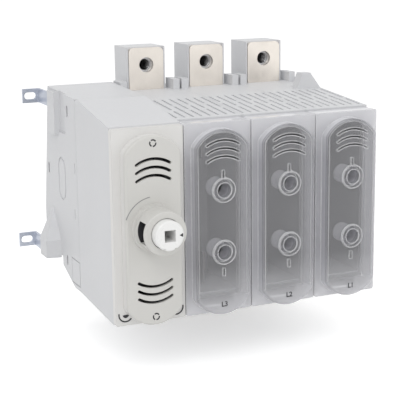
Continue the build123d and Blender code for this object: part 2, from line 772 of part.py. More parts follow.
# Pole housings: fuse compartment in front, contact chamber behind, terminal blocks above and below
cover_seat_y = front_y + cover_depth
block_rear_y = -terminal_block_rear_gap
block_front_y = terminal_y + loose_gap
plate_rear_y = terminal_y + terminal_thickness
slot_half_width = terminal_width / 2 + running_gap
hinge_y = front_y + hinge_depth
hinge_z = bottom_z + hinge_height
ear_outer = pole_inner
side_tab_y = cover_seat_y + side_tab_width
knife_start = roller_offset - blade_half_length + knife_overlap
slope = degrees(atan2(shoulder_rise, shoulder_depth))
groove_start_y = cover_seat_y + groove_start_gap
groove_end_y = shoulder_y - groove_start_gap
groove_long = groove_long_share * (groove_end_y - groove_start_y) - groove_row_gap / 2
groove_short = groove_end_y - groove_start_y - groove_row_gap - groove_long
for index, x in enumerate(pole_xs):
    last = index == pole_count - 1
    with BuildPart() as pole_housing:
        with BuildSketch(Plane.YZ.offset(x - pole_half)):
            pole_profile(cover_seat_y, rear_y)
        extrude(amount=2 * pole_half + last * seam / 2)
        with BuildSketch(Plane.YZ.offset(x - pole_inner)):
            pole_profile(cover_seat_y, partition_y, wall)
            pole_profile(partition_y + partition_thickness, rear_y - wall, wall)
        extrude(amount=2 * pole_inner, mode=Mode.SUBTRACT)
        for sign in (-1, 1):
            tip_z = middle_z + sign * (terminal_tip_height + terminal_block_lip - frame_height / 2)
            root_z = middle_z + sign * (pole_top(rear_y) - wall - middle_z)
            hole_z = middle_z + sign * (terminal_hole_height - frame_height / 2)
            block_z = (tip_z + root_z) / 2
            with Locations((x, (block_front_y + block_rear_y) / 2, block_z)):
                Box(terminal_block_width, block_rear_y - block_front_y, abs(tip_z - root_z))
            with BuildSketch(facing(plate_rear_y)):
                with Locations((x, block_z)):
                    Rectangle(2 * slot_half_width, abs(tip_z - root_z) + 2 * wall)
            extrude(amount=terminal_thickness + running_gap, mode=Mode.SUBTRACT)
            with BuildSketch(facing(plate_rear_y + nut_thickness + running_gap)):
                with Locations((x, hole_z)):
                    Rectangle(nut_size + 2 * running_gap, nut_size + 2 * running_gap)
            extrude(amount=nut_thickness + running_gap, mode=Mode.SUBTRACT)
            with BuildSketch(facing(block_rear_y)):
                with Locations((x, hole_z)):
                    Circle(terminal_hole_diameter / 2)
            extrude(amount=block_rear_y - plate_rear_y, mode=Mode.SUBTRACT)
            with BuildSketch(facing(partition_y + partition_thickness)):
                with Locations((x, drive_z + sign * (knife_start - knife_height / 2))):
                    Rectangle(knife_thickness + 2 * loose_gap, knife_height + 2 * loose_gap)
            extrude(amount=partition_thickness, mode=Mode.SUBTRACT)
            shelf_z = middle_z + sign * (pole_top(terminal_y) - middle_z)
            for side in (-1, 1):
                holder_x = x + side * (pole_pitch / 2 - barrier_slot / 2 - holder_width / 2)
                with Locations((holder_x, terminal_y, shelf_z + sign * (holder_height - wall) / 2)):
                    Box(holder_width, holder_length, holder_height + wall)
        for length, parity in ((groove_long, 0), (groove_short, 1)):
            places = []
            for groove in range(groove_count):
                groove_x = x + (groove - (groove_count - 1) / 2) * pole_pitch / groove_count
                y = groove_start_y + length / 2
                if groove % 2 != parity:
                    y = groove_end_y - length / 2
                places.append(Location((groove_x, y, pole_top(y)), (slope, 0, 0)))
                places.append(Location((groove_x, y, mirrored(pole_top(y))), (-slope, 0, 0)))
            with Locations(*places):
                Box(groove_width, length, 2 * groove_deep, mode=Mode.SUBTRACT)
        for side in (-1, 1):
            inner_x = x + side * (ear_outer - hinge_ear_width / 2)
            with Locations((inner_x, hinge_y, hinge_z)):
                Cylinder(hinge_ear_radius, hinge_ear_width, rotation=(0, 90, 0))
            bar_y = cover_seat_y + wall
            with Locations((inner_x, (hinge_y + bar_y) / 2, hinge_z)):
                Box(hinge_ear_width, bar_y - hinge_y, 2 * hinge_ear_radius - hinge_bar_margin)
            with Locations((inner_x + side * loose_gap, cover_seat_y + wall, (hinge_z + bottom_z) / 2)):
                Box(hinge_ear_width, 2 * wall, hinge_height + hinge_bar_root)
        with Locations((x, hinge_y, hinge_z)):
            Cylinder(
                hinge_pin_diameter / 2 + shaft_fit, pole_pitch, rotation=(0, 90, 0), mode=Mode.SUBTRACT
            )
        openings = [x - pole_half]
        if last:
            for z in roller_zs.values():
                with BuildSketch(Plane.YZ.offset(last_inner_x - lever_thickness)):
                    with Locations((roller_y, z)):
                        Circle(journal_diameter / 2 + 2 * bush_wall)
                        Circle(journal_diameter / 2 + bush_wall, mode=Mode.SUBTRACT)
                extrude(amount=lever_thickness)
            foot_flare(right_x, 1)
            bracket_pocket(right_x, 1, pole_top(roller_y) - wall)
            with Locations((right_x, side_tab_y, bottom_z + side_tab_height)):
                Box(2 * side_tab_reach, side_tab_width, side_tab_length)
            end_z = top_z + shoulder_rise
            with BuildSketch(facing(shoulder_y + end_ear_thickness)):
                with BuildLine():
                    Polyline(
                        (right_x - end_ear_width, end_z - wall),
                        (right_x - end_ear_width, end_z),
                        (right_x - end_ear_width + end_ear_slope, end_z + end_ear_height),
                        (right_x - end_ear_slope * 2, end_z + end_ear_height),
                        (right_x - seam, end_z),
                        (right_x - seam, end_z - wall),
                        close=True,
                    )
                make_face()
            extrude(amount=end_ear_thickness)
        else:
            openings.append(x + pole_inner)
        for opening_x in openings:
            with BuildSketch(Plane.YZ.offset(opening_x)):
                with Locations(*[(roller_y, z) for z in roller_zs.values()]):
                    Circle(roller_diameter / 2 + loose_gap)
                with Locations(*tie_rod_places):
                    Circle((tie_rod_diameter + tie_rod_fit) / 2)
            extrude(amount=wall, mode=Mode.SUBTRACT)
    save(pole_housing, f"pole_housing_{index + 1}")

# Dark liners of the fuse compartments, open to the front, with an opening for each jaw
jaw_offset = jaw_height - drive_height
jaw_root_y = partition_y - jaw_plate_thickness
tray_half = pole_inner - running_gap
tray_front_y = cover_seat_y + tray_setback
tray_z = bottom_z + (tray_bottom_height + tray_top_height) / 2
tray_height = tray_top_height - tray_bottom_height
for index, x in enumerate(pole_xs):
    with BuildPart() as fuse_tray:
        with BuildSketch(facing(jaw_root_y)):
            with Locations((x, tray_z)):
                Rectangle(2 * tray_half, tray_height)
        extrude(amount=jaw_root_y - tray_front_y)
        with BuildSketch(facing(jaw_root_y - tray_wall)):
            with Locations((x, tray_z)):
                Rectangle(2 * (tray_half - tray_wall), tray_height - 2 * tray_wall)
        extrude(amount=jaw_root_y - tray_front_y, mode=Mode.SUBTRACT)
        with BuildSketch(facing(jaw_root_y)):
            with Locations((x, drive_z + jaw_offset), (x, drive_z - jaw_offset)):
                Rectangle(tray_opening, jaw_length + 2 * tray_opening_margin)
        extrude(amount=tray_wall, mode=Mode.SUBTRACT)
    save(fuse_tray, f"fuse_tray_{index + 1}")

# Fuse jaws: a spring-backed fork in front of the partition and a knife contact behind it
jaw_front_y = jaw_root_y - jaw_reach
jaw_foot = knife_start - knife_height - jaw_plate_margin / 2
jaw_tip = jaw_offset + jaw_length / 2 + jaw_plate_margin
for index, x in enumerate(pole_xs):
    for name, sign in (("upper", 1), ("lower", -1)):
        with BuildPart() as fuse_jaw:
            with BuildSketch(facing(partition_y)):
                with Locations((x, drive_z + sign * (jaw_foot + jaw_tip) / 2)):
                    Rectangle(jaw_plate_width, jaw_tip - jaw_foot)
            extrude(amount=jaw_plate_thickness)
            with BuildSketch(facing(roller_y + knife_margin)):
                with Locations((x, drive_z + sign * (knife_start - knife_height / 2))):
                    Rectangle(knife_thickness, knife_height)
            extrude(amount=roller_y + knife_margin - jaw_root_y)
            with BuildSketch(Plane.XY.offset(drive_z + sign * jaw_offset - jaw_length / 2)):
                for side in (-1, 1):
                    inner_x = x + side * jaw_gap / 2
                    outer_x = inner_x + side * jaw_cheek
                    with BuildLine():
                        Polyline(
                            (inner_x, jaw_root_y),
                            (inner_x, jaw_front_y + jaw_lip),
                            (inner_x + side * jaw_flare, jaw_front_y),
                            (outer_x + side * jaw_flare, jaw_front_y),
                            (outer_x, jaw_front_y + jaw_lip),
                            (outer_x, jaw_root_y),
                            close=True,
                        )
                    make_face()
            extrude(amount=jaw_length)
        save(fuse_jaw, f"{name}_jaw_{index + 1}")

with BuildPart() as jaw_springs:
    leaf_x = jaw_gap / 2 + jaw_cheek + jaw_spring_thickness / 2
    leaf_y = jaw_root_y - jaw_spring_length / 2
    for x in pole_xs:
        for sign in (-1, 1):
            z = drive_z + sign * jaw_offset
            with Locations((x - leaf_x, leaf_y, z), (x + leaf_x, leaf_y, z)):
                Box(jaw_spring_thickness, jaw_spring_length, jaw_spring_height)
save(jaw_springs, "jaw_springs")

# Moving contacts: a pair of blades through each roller at every pole
for index, x in enumerate(pole_xs):
    for name, z in roller_zs.items():
        with BuildPart() as moving_contact:
            with Locations((x - blade_x, roller_y, z), (x + blade_x, roller_y, z)):
                Box(blade_thickness, 2 * blade_half_length, blade_width)
            chamfer(edges().filter_by(Axis.X), blade_edge)
        save(moving_contact, f"{name}_contact_{index + 1}")

# Tinned terminals with the fixed knife contact of each roller
for index, x in enumerate(pole_xs):
    for name, sign in (("top", 1), ("bottom", -1)):
        tip_z = middle_z + sign * (terminal_tip_height - frame_height / 2)
        hole_z = middle_z + sign * (terminal_hole_height - frame_height / 2)
        foot_z = drive_z + sign * (terminal_foot_height - drive_height)
        knife_z = drive_z + sign * (roller_offset + blade_half_length - knife_overlap + knife_height / 2)
        with BuildPart() as terminal:
            with BuildSketch(facing(plate_rear_y)):
                with Locations((x, (tip_z + foot_z) / 2)):
                    RectangleRounded(terminal_width, abs(tip_z - foot_z), terminal_corner)
                with Locations((x, hole_z)):
                    Circle(terminal_hole_diameter / 2, mode=Mode.SUBTRACT)
            extrude(amount=terminal_thickness)
            with BuildSketch(facing(plate_rear_y)):
                with Locations((x, knife_z)):
                    Rectangle(knife_thickness, knife_height)
            extrude(amount=plate_rear_y - roller_y + knife_margin)
        save(terminal, f"{name}_terminal_{index + 1}")

with BuildPart() as terminal_nuts:
    with BuildSketch(facing(plate_rear_y + nut_thickness)):
        for x in pole_xs:
            for sign in (-1, 1):
                with Locations((x, middle_z + sign * (terminal_hole_height - frame_height / 2))):
                    Rectangle(nut_size, nut_size)
                    Circle(nut_bore / 2, mode=Mode.SUBTRACT)
    extrude(amount=nut_thickness)
save(terminal_nuts, "terminal_nuts")

# Arc splitter plates on both sides of the path of each moving contact
arc_plate_length = arc_plate_outer - arc_plate_inner
arc_plate_width = pole_inner - running_gap - arc_plate_slot / 2
arc_plate_radius = (arc_plate_inner + arc_plate_outer) / 2
for index, x in enumerate(pole_xs):
    places = []
    for z in roller_zs.values():
        for plate in range(2 * arc_plate_count):
            angle = arc_plate_first + (plate % arc_plate_count) * arc_plate_step
            if plate >= arc_plate_count:
                angle -= 180.0
            y = roller_y + arc_plate_radius * cos(radians(angle))
            plate_z = z + arc_plate_radius * sin(radians(angle))
            for side in (-1, 1):
                plate_x = x + side * (arc_plate_slot + arc_plate_width) / 2
                places.append(Location((plate_x, y, plate_z), (angle, 0, 0)))
    with BuildPart() as arc_plates:
        with Locations(*places):
            Box(arc_plate_width, arc_plate_length, arc_plate_thickness)
    save(arc_plates, f"arc_plates_{index + 1}")

# Clear fuse covers with vents, test ports and gauge slots, hinged at the bottom
cover_half = (pole_pitch - cover_gap) / 2
skirt_rear_y = cover_seat_y - running_gap
port_zs = [bottom_z + port_upper_height, bottom_z + port_lower_height]
for index, x in enumerate(pole_xs):
    with BuildPart() as fuse_cover:
        with BuildSketch(facing(skirt_rear_y)):
            with Locations((x, middle_z)):
                RectangleRounded(2 * cover_half, frame_height, panel_edge)
        extrude(amount=skirt_rear_y - front_y)
        with BuildSketch(facing(front_y)):
            panel_outline(x)
        extrude(amount=panel_raise)
        fillet(faces().sort_by(Axis.Y)[0].edges(), panel_edge)
        with BuildSketch(facing(skirt_rear_y)):
            with Locations((x, middle_z)):
                Rectangle(2 * (cover_half - cover_wall), frame_height - 2 * cover_wall)
        extrude(amount=skirt_rear_y - front_y - cover_wall, mode=Mode.SUBTRACT)
        with BuildSketch(facing(front_y + cover_wall)):
            panel_outline(x, inset=cover_wall)
        extrude(amount=panel_raise, mode=Mode.SUBTRACT)
        with BuildSketch(Plane.YZ.offset(x - cover_half)):
            with BuildLine():
                Polyline(
                    (hinge_y, bottom_z),
                    (skirt_rear_y, bottom_z + cover_cut_height),
                    (cover_seat_y, bottom_z + cover_cut_height),
                    (cover_seat_y, bottom_z - cover_wall),
                    (hinge_y, bottom_z - cover_wall),
                    close=True,
                )
            make_face()
        extrude(amount=2 * cover_half, mode=Mode.SUBTRACT)
        notch_start = ear_outer - hinge_ear_width - loose_gap
        notch_width = cover_half - cover_wall - notch_start
        for side in (-1, 1):
            notch_x = x + side * (notch_start + notch_width / 2)
            with Locations((notch_x, (front_y + cover_wall + cover_seat_y) / 2, bottom_z)):
                Box(notch_width, cover_seat_y - front_y - cover_wall, 4 * cover_wall, mode=Mode.SUBTRACT)
        with Locations((x, hinge_y, hinge_z)):
            Cylinder(
                hinge_pin_diameter / 2 + hinge_fit, 2 * cover_half, rotation=(0, 90, 0), mode=Mode.SUBTRACT
            )
        with BuildSketch(facing(front_y + port_rear_depth)):
            with Locations(*[(x, z) for z in port_zs]):
                Circle(port_diameter / 2)
        extrude(amount=port_rear_depth + panel_raise + port_proud)
        with BuildSketch(facing(panel_y)):
            with Locations(*[(x, z) for z in port_zs]):
                Circle(port_diameter / 2 + port_rim)
        extrude(amount=port_proud)
        with BuildSketch(facing(front_y + port_rear_depth)):
            with Locations(*[(x, z) for z in port_zs]):
                Circle(port_bore / 2)
        extrude(amount=front_depth, mode=Mode.SUBTRACT)
        with BuildSketch(facing(panel_y)):
            with Locations(*[(x, bottom_z + height) for height in gauge_slot_heights]):
                Rectangle(gauge_slot_width, gauge_slot_height)
            vent_slots(x, bottom_z + cover_vent_top_height, vent_rise, cover_vent_slot)
        extrude(amount=-cover_wall * 2, mode=Mode.SUBTRACT)
    save(fuse_cover, f"fuse_cover_{index + 1}")

with BuildPart() as cover_hinge_pins:
    pin_length = cover_half - ear_outer + hinge_ear_width
    for x in pole_xs:
        for start in (x - cover_half, x + cover_half - pin_length):
            with BuildSketch(Plane.YZ.offset(start)):
                with Locations((hinge_y, hinge_z)):
                    Circle(hinge_pin_diameter / 2)
            extrude(amount=pin_length)
save(cover_hinge_pins, "cover_hinge_pins")

# Zinc-plated angle brackets that fix the switch to its mounting panel
upper_leg_front_y = front_y + pocket_depth + wall + pocket_slack
bracket_legs = {
    "upper": (right_x + pocket_slack, bottom_z + upper_bracket_height, upper_leg_front_y),
    "lower": (right_x + lower_leg_reach, lower_bracket_z, flare_rear_y - lower_leg_grip),
}
for level, (leg_x, z, leg_front_y) in bracket_legs.items():
    for name, side in (("left", -1), ("right", 1)):
        with BuildPart() as bracket:
            with BuildSketch(Plane.XY.offset(z - bracket_height / 2)):
                with BuildLine():
                    Polyline(
                        (side * leg_x, leg_front_y),
                        (side * (leg_x + bracket_thickness), leg_front_y),
                        (side * (leg_x + bracket_thickness), -bracket_thickness),
                        (side * (leg_x + bracket_plate_width), -bracket_thickness),
                        (side * (leg_x + bracket_plate_width), 0),
                        (side * leg_x, 0),
                        close=True,
                    )
                make_face()
            extrude(amount=bracket_height)
            with BuildSketch(facing(0)):
                with Locations((side * (leg_x + bracket_plate_width - bracket_slot_inset), z)):
                    SlotOverall(bracket_slot_length, bracket_slot_width)
            extrude(amount=bracket_thickness, mode=Mode.SUBTRACT)
        save(bracket, f"{level}_{name}_bracket")

# Tie rods with nuts that clamp the pole housings to the drive module
rod_nut_xs = [drive_right_x - wall - tie_nut_length, pole_xs[-1] - pole_inner]
with BuildPart() as tie_rods:
    with BuildSketch(Plane.YZ.offset(rod_nut_xs[0] - tie_rod_proud)):
        with Locations(*tie_rod_places):
            Circle(tie_rod_diameter / 2)
    extrude(amount=rod_nut_xs[1] + tie_nut_length - rod_nut_xs[0] + 2 * tie_rod_proud)
save(tie_rods, "tie_rods")

with BuildPart() as tie_nuts:
    for x in rod_nut_xs:
        with BuildSketch(Plane.YZ.offset(x)):
            with Locations(*tie_rod_places):
                RegularPolygon(tie_nut_diameter / 2, 6)
                Circle(tie_rod_diameter / 2, mode=Mode.SUBTRACT)
        extrude(amount=tie_nut_length)
save(tie_nuts, "tie_nuts")
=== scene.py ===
"""Looks of a fuse switch disconnector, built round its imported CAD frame."""
import math

import bmesh
import bpy
from mathutils import Matrix, Vector


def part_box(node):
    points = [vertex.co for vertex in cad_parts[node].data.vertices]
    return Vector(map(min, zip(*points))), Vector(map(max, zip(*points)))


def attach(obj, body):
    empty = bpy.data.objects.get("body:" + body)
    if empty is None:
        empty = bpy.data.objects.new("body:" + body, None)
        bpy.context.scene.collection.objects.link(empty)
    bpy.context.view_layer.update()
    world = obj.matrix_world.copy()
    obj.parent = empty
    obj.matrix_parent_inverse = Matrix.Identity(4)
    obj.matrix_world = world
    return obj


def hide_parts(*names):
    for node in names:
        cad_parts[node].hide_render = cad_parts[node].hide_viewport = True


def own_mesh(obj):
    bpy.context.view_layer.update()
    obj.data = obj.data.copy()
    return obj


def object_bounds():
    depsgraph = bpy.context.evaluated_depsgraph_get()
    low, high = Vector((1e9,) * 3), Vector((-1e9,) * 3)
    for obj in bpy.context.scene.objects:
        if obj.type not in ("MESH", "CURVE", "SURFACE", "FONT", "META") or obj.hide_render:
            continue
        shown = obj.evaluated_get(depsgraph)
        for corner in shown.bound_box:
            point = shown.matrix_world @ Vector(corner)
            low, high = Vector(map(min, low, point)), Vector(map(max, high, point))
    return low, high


bl_info = {
    "name": "Fuse switch disconnector",
    "version": (1, 0, 0),
    "blender": (4, 5, 0),
    "location": "View3D > Sidebar > Switch",
    "description": "Finishes, marks, threads and studio of a fuse switch disconnector",
    "category": "Object",
}

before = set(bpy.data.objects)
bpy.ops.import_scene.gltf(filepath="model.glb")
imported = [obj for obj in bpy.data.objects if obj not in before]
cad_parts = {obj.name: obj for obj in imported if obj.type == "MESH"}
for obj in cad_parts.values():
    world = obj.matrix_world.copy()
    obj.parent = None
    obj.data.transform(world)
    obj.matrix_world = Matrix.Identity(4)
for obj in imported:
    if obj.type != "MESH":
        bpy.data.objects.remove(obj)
CAD_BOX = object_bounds()
# Number of each pole, counted from the drive module, and its phase mark
PHASES = (("1", "L3"), ("2", "L2"), ("3", "L1"))


def middle(node):
    """Centre of a CAD node's box."""
    low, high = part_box(node)
    return (low + high) / 2


def front(node):
    """The Y of a CAD node's face nearest the viewer."""
    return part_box(node)[0].y


def foot(node):
    """The lowest Z of a CAD node."""
    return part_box(node)[0].z


# The front frames' face lies ahead of the liners, and the raised panels lie ahead of that face
TRAY_SETBACK = 0.020
PANEL_PROUD = 0.012
FRAME_FOOT = foot("drive_cover")
FRAME_Y = front("fuse_tray_1") - TRAY_SETBACK
PANEL_Y = FRAME_Y - PANEL_PROUD


def colour_property(name, description, default):
    """A colour, in linear light."""
    return bpy.props.FloatVectorProperty(
        name=name, description=description, subtype="COLOR", size=3, min=0, max=1, default=default
    )


def number_property(name, description, default):
    """A plain number."""
    return bpy.props.FloatProperty(name=name, description=description, default=default)


def length_property(name, description, default):
    """A length in metres."""
    return bpy.props.FloatProperty(
        name=name, description=description, unit="LENGTH", min=0, default=default
    )


def lengths_property(name, description, default):
    """Several lengths in metres."""
    return bpy.props.FloatVectorProperty(
        name=name, description=description, unit="LENGTH", size=len(default), min=0, default=default
    )


class SwitchColours(bpy.types.PropertyGroup):
    """Colours of the finishes."""

    drive: colour_property(
        "Drive module", "Warm light grey of the drive module's panel and collar", (0.635, 0.628, 0.603)
    )
    # Painted light: a paler copy of the drive grey for the frame and the panel's side walls, as if they
    # caught more light
    lit_border: colour_property(
        "Drive border", "Paler grey of the border round the drive module's panel", (0.74, 0.732, 0.717)
    )
    housing: colour_property("Housings", "Cool light grey of the case and pole housings", (0.66, 0.665, 0.68))
    coupler: colour_property("Coupler", "White of the shaft coupler", (0.86, 0.86, 0.85))
    # Also the grey of the shadow finish: painted shade on the guide arc and in the terminals' bores
    liner: colour_property("Liners", "Dark grey inside the fuse compartments", (0.30, 0.30, 0.305))
    clear: colour_property("Clear covers", "Tint of the clear covers' raised windows", (0.57, 0.57, 0.595))
    clear_frame: colour_property("Clear frames", "Pale matt frames of the clear covers", (0.70, 0.70, 0.74))
    # Painted light: the pale colour of the clear covers' top and bottom ends, as if they caught the light
    end_light: colour_property("Frosted ends", "Pale ends of the clear covers", (0.80, 0.80, 0.83))
    # Painted highlight: the near white that the clear covers' edges get in place of the light their rims
    # catch
    edge_glint: colour_property("Clear edges", "Nearly white edges of the clear covers", (0.93, 0.93, 0.95))
    # Painted highlight: the bright colour of the beads at the clear ports' ends, in place of the light their
    # rims catch
    rim: colour_property("Clear rims", "Bright ends of the clear ports", (0.85, 0.85, 0.87))
    tin: colour_property("Tin plating", "Dull warm tin on the terminals", (0.80, 0.75, 0.69))
    silver: colour_property("Silver plating", "Silver on the moving contacts", (0.78, 0.76, 0.73))
    jaw: colour_property("Jaws", "Tarnished silver on the fuse jaws", (0.26, 0.25, 0.25))
    zinc: colour_property("Zinc plating", "Bluish zinc on brackets and folded steel", (0.52, 0.55, 0.62))
    steel: colour_property("Steel", "Bare machined steel", (0.50, 0.50, 0.51))
    bronze: colour_property("Bronze", "Bearing bronze of the bushes", (0.55, 0.34, 0.15))
    roller: colour_property("Rollers", "Insulating plastic of the contact rollers", (0.22, 0.05, 0.04))
    # Also the black of the painted shade: the coupler sleeve, the window lining, the corner hooks and the
    # ring marks
    ink_and_shade: colour_property("Ink", "Black of printed marks and of the collar's lining", (0.01, 0.01, 0.012))
    floor: colour_property("Floor", "Pale studio floor", (0.93, 0.93, 0.93))


class SwitchSizes(bpy.types.PropertyGroup):
    """Sizes of the pieces that are added round the CAD frame."""

    mark_radius: length_property("Ring mark radius", "Radius of the three-arc ring marks", 0.0028)
    mark_line: length_property("Ring mark line", "Line width of the ring marks", 0.0012)
    letter_height: length_property("Letter height", "Height of the phase marks", 0.0048)
    print_depth: length_property("Print thickness", "How far printed marks stand proud", 0.00008)
    thread_pitch: length_property("Thread pitch", "Pitch of the thread in the terminal nuts", 0.00175)
    thread_depth: length_property("Thread depth", "Depth of the thread in the terminal nuts", 0.0009)
    arrow: length_property("Arrow size", "Length of the black arrow on the coupler", 0.0032)


class Tree:
    """A node tree under construction: adds nodes, joins them and sets their sockets."""

    def __init__(self, tree):
        self.tree = tree

    def add(self, kind, settings=None, **sockets):
        """A new node, with its settings and with its inputs by name."""
        node = self.tree.nodes.new(kind)
        for key, value in (settings or {}).items():
            setattr(node, key, value)
        self.fill(node, sockets)
        return node

    def fill(self, node, sockets):
        """Feeds a node's inputs by name."""
        for key, value in sockets.items():
            self.feed(node.inputs[key.replace("_", " ")], value)

    def feed(self, socket, value):
        """Links another node's output to an input, or sets a plain value on it."""
        if isinstance(value, bpy.types.NodeSocket):
            self.tree.links.new(value, socket)
        else:
            socket.default_value = value

    def math(self, operation, first, second):
        """Two values joined by a maths operation."""
        node = self.add("ShaderNodeMath", {"operation": operation})
        self.feed(node.inputs[0], first)
        self.feed(node.inputs[1], second)
        return node.outputs[0]

    def ramp(self, value, start, end):
        """A value brought from the range start to the range end, and held at its ends."""
        node = self.add("ShaderNodeMapRange", Value=value)
        for key, number in zip(("From Min", "From Max", "To Min", "To Max"), (*start, *end)):
            node.inputs[key].default_value = number
        return node.outputs["Result"]

    def seen_rays(self):
        """A value that is 1 for the rays that show the surroundings: camera, glossy and transmission."""
        rays = self.add("ShaderNodeLightPath").outputs
        seen = rays["Is Camera Ray"]
        for key in ("Is Glossy Ray", "Is Transmission Ray"):
            seen = self.math("MAXIMUM", seen, rays[key])
        return seen


# From none to all of an effect
FULL = (0.0, 1.0)
# Most of a noise's values lie between these
NOISE_RANGE = (0.25, 0.75)
# A mix node's colour sockets have the same names as its plain ones, so they go by number
MIX_FACTOR, MIX_FIRST, MIX_SECOND, MIX_RESULT = 0, 6, 7, 2
# How far the rounded normal leaves the true one, as a dot product, where an edge begins and is full
EDGE_DOT = (0.98, 0.80)
PLASTIC_IOR = 1.5
CLEAR_IOR = 1.58


class Finish(Tree):
    """A material under construction, on the object's own coordinates."""

    def __init__(self, name):
        self.material = bpy.data.materials.new(name)
        self.material.use_nodes = True
        super().__init__(self.material.node_tree)
        self.shader = self.tree.nodes["Principled BSDF"]
        self.place = self.add("ShaderNodeTexCoord").outputs["Object"]

    def axes(self):
        """The object's own coordinates, one by one."""
        return self.add("ShaderNodeSeparateXYZ", Vector=self.place).outputs

    def noise(self, scale, detail=2.0, stretch=None):
        """Noise over the object's own coordinates, with an optional stretch per axis."""
        vector = self.place
        if stretch:
            vector = self.add("ShaderNodeMapping", Vector=self.place, Scale=stretch).outputs["Vector"]
        return self.add("ShaderNodeTexNoise", Vector=vector, Scale=scale, Detail=detail).outputs["Fac"]

    def spread(self, noise, low, high):
        """Noise brought to the range low to high."""
        return self.ramp(noise, NOISE_RANGE, (low, high))

    def tint(self, factor, first, second):
        """Colour between first and second."""
        node = self.add("ShaderNodeMix", {"data_type": "RGBA"})
        self.feed(node.inputs[MIX_FACTOR], factor)
        for index, colour in ((MIX_FIRST, first), (MIX_SECOND, second)):
            plain = isinstance(colour, tuple)
            self.feed(node.inputs[index], (*colour, 1) if plain else colour)
        return node.outputs[MIX_RESULT]

    def mottled(self, factor, colour, dark, light):
        """A colour that wavers between a darker and a lighter share of itself."""
        return self.tint(factor, shade(colour, dark), shade(colour, light))

    def edges(self, radius):
        """The rounded normal, and a mask that is 1 along the edges."""
        rounded = self.add("ShaderNodeBevel", {"samples": 4}, Radius=radius).outputs["Normal"]
        plain = self.add("ShaderNodeNewGeometry").outputs["Normal"]
        dot = self.add("ShaderNodeVectorMath", {"operation": "DOT_PRODUCT"})
        self.feed(dot.inputs[0], rounded)
        self.feed(dot.inputs[1], plain)
        return rounded, self.ramp(dot.outputs["Value"], EDGE_DOT, FULL)

    def bump(self, height, distance, strength, normal=None):
        """Relief on the surface, over an optional rounded normal."""
        node = self.add("ShaderNodeBump", Height=height, Strength=strength, Distance=distance)
        if normal:
            self.feed(node.inputs["Normal"], normal)
        self.feed(self.shader.inputs["Normal"], node.outputs["Normal"])

    def surface(self, **sockets):
        """Feeds the shader's inputs by name."""
        self.fill(self.shader, sockets)


def shade(colour, factor):
    """A colour made darker or lighter."""
    return tuple(min(1.0, channel * factor) for channel in colour)


# Where the painted light of the drive module's paler border begins behind its panel
LIT_BORDER_START = (PANEL_Y + 0.002, PANEL_Y + 0.006)


def moulded_plastic(name, colour, roughness=0.42, grain=1400.0, depth=0.00006, lit_border=None):
    """Moulded plastic: fine spark-eroded grain, cloudy tone, lighter edges, and an optional paler border
    behind the panel, which is painted light.
    """
    finish = Finish(name)
    rounded, lighter_edge = finish.edges(radius=0.0006)
    clouds = finish.noise(scale=18.0, detail=3.0)
    flow = finish.noise(scale=6.0, stretch=(1.0, 1.0, 6.0))
    cloudy = finish.mottled(clouds, colour, dark=0.965, light=1.035)
    toned = finish.tint(finish.spread(flow, low=0.0, high=0.5), cloudy, shade(colour, 1.02))
    # Painted light: behind the panel the colour turns to the paler border grey, as if the frame and the
    # panel's side walls caught more light
    if lit_border:
        behind = finish.ramp(finish.axes()["Y"], LIT_BORDER_START, FULL)
        toned = finish.tint(behind, toned, finish.mottled(clouds, lit_border, dark=0.97, light=1.03))
    finish.surface(
        Base_Color=finish.tint(lighter_edge, toned, shade(colour, 1.12)),
        Roughness=finish.spread(
            finish.noise(scale=300.0, detail=3.0), low=roughness - 0.05, high=roughness + 0.06
        ),
        IOR=PLASTIC_IOR,
    )
    finish.bump(finish.noise(grain), depth, strength=0.5, normal=rounded)
    return finish.material


def plated_metal(name, colour, roughness, brushed=(1.0, 1.0, 1.0), patch=60.0):
    """Plated or machined metal: patchy tone, drawn scratches and brighter edges."""
    finish = Finish(name)
    rounded, bright = finish.edges(radius=0.0005)
    patchy = finish.mottled(finish.noise(patch, detail=4.0), colour, dark=0.86, light=1.08)
    scratches = finish.noise(scale=900.0, detail=3.0, stretch=brushed)
    finish.surface(
        Base_Color=finish.tint(bright, patchy, shade(colour, 1.2)),
        Roughness=finish.spread(scratches, low=roughness - 0.08, high=roughness + 0.12),
        Metallic=1.0,
    )
    finish.bump(scratches, distance=0.00004, strength=0.35, normal=rounded)
    return finish.material


# Where the clear covers' frames begin behind the panel, and their ends above the frame's foot, which painted
# light makes paler and hazier
COVER_FRAME = (PANEL_Y + 0.003, PANEL_Y + 0.005)
COVER_TOP_LIGHT = (FRAME_FOOT + 0.135, FRAME_FOOT + 0.172)
COVER_BOTTOM_LIGHT = (FRAME_FOOT + 0.046, FRAME_FOOT + 0.004)
# How solid the clear covers look: square on and at a glance, along their edges, which a painted highlight
# makes white, and what haze adds on the frame and, as painted light, at the ends
GLANCE_RANGE = (0.30, 1.0)
BODY_ALPHA = (0.18, 0.50)
EDGE_GLINT_ALPHA = (0.0, 0.95)
FRAME_HAZE = (0.0, 0.28)
END_LIGHT_HAZE = (0.0, 0.22)


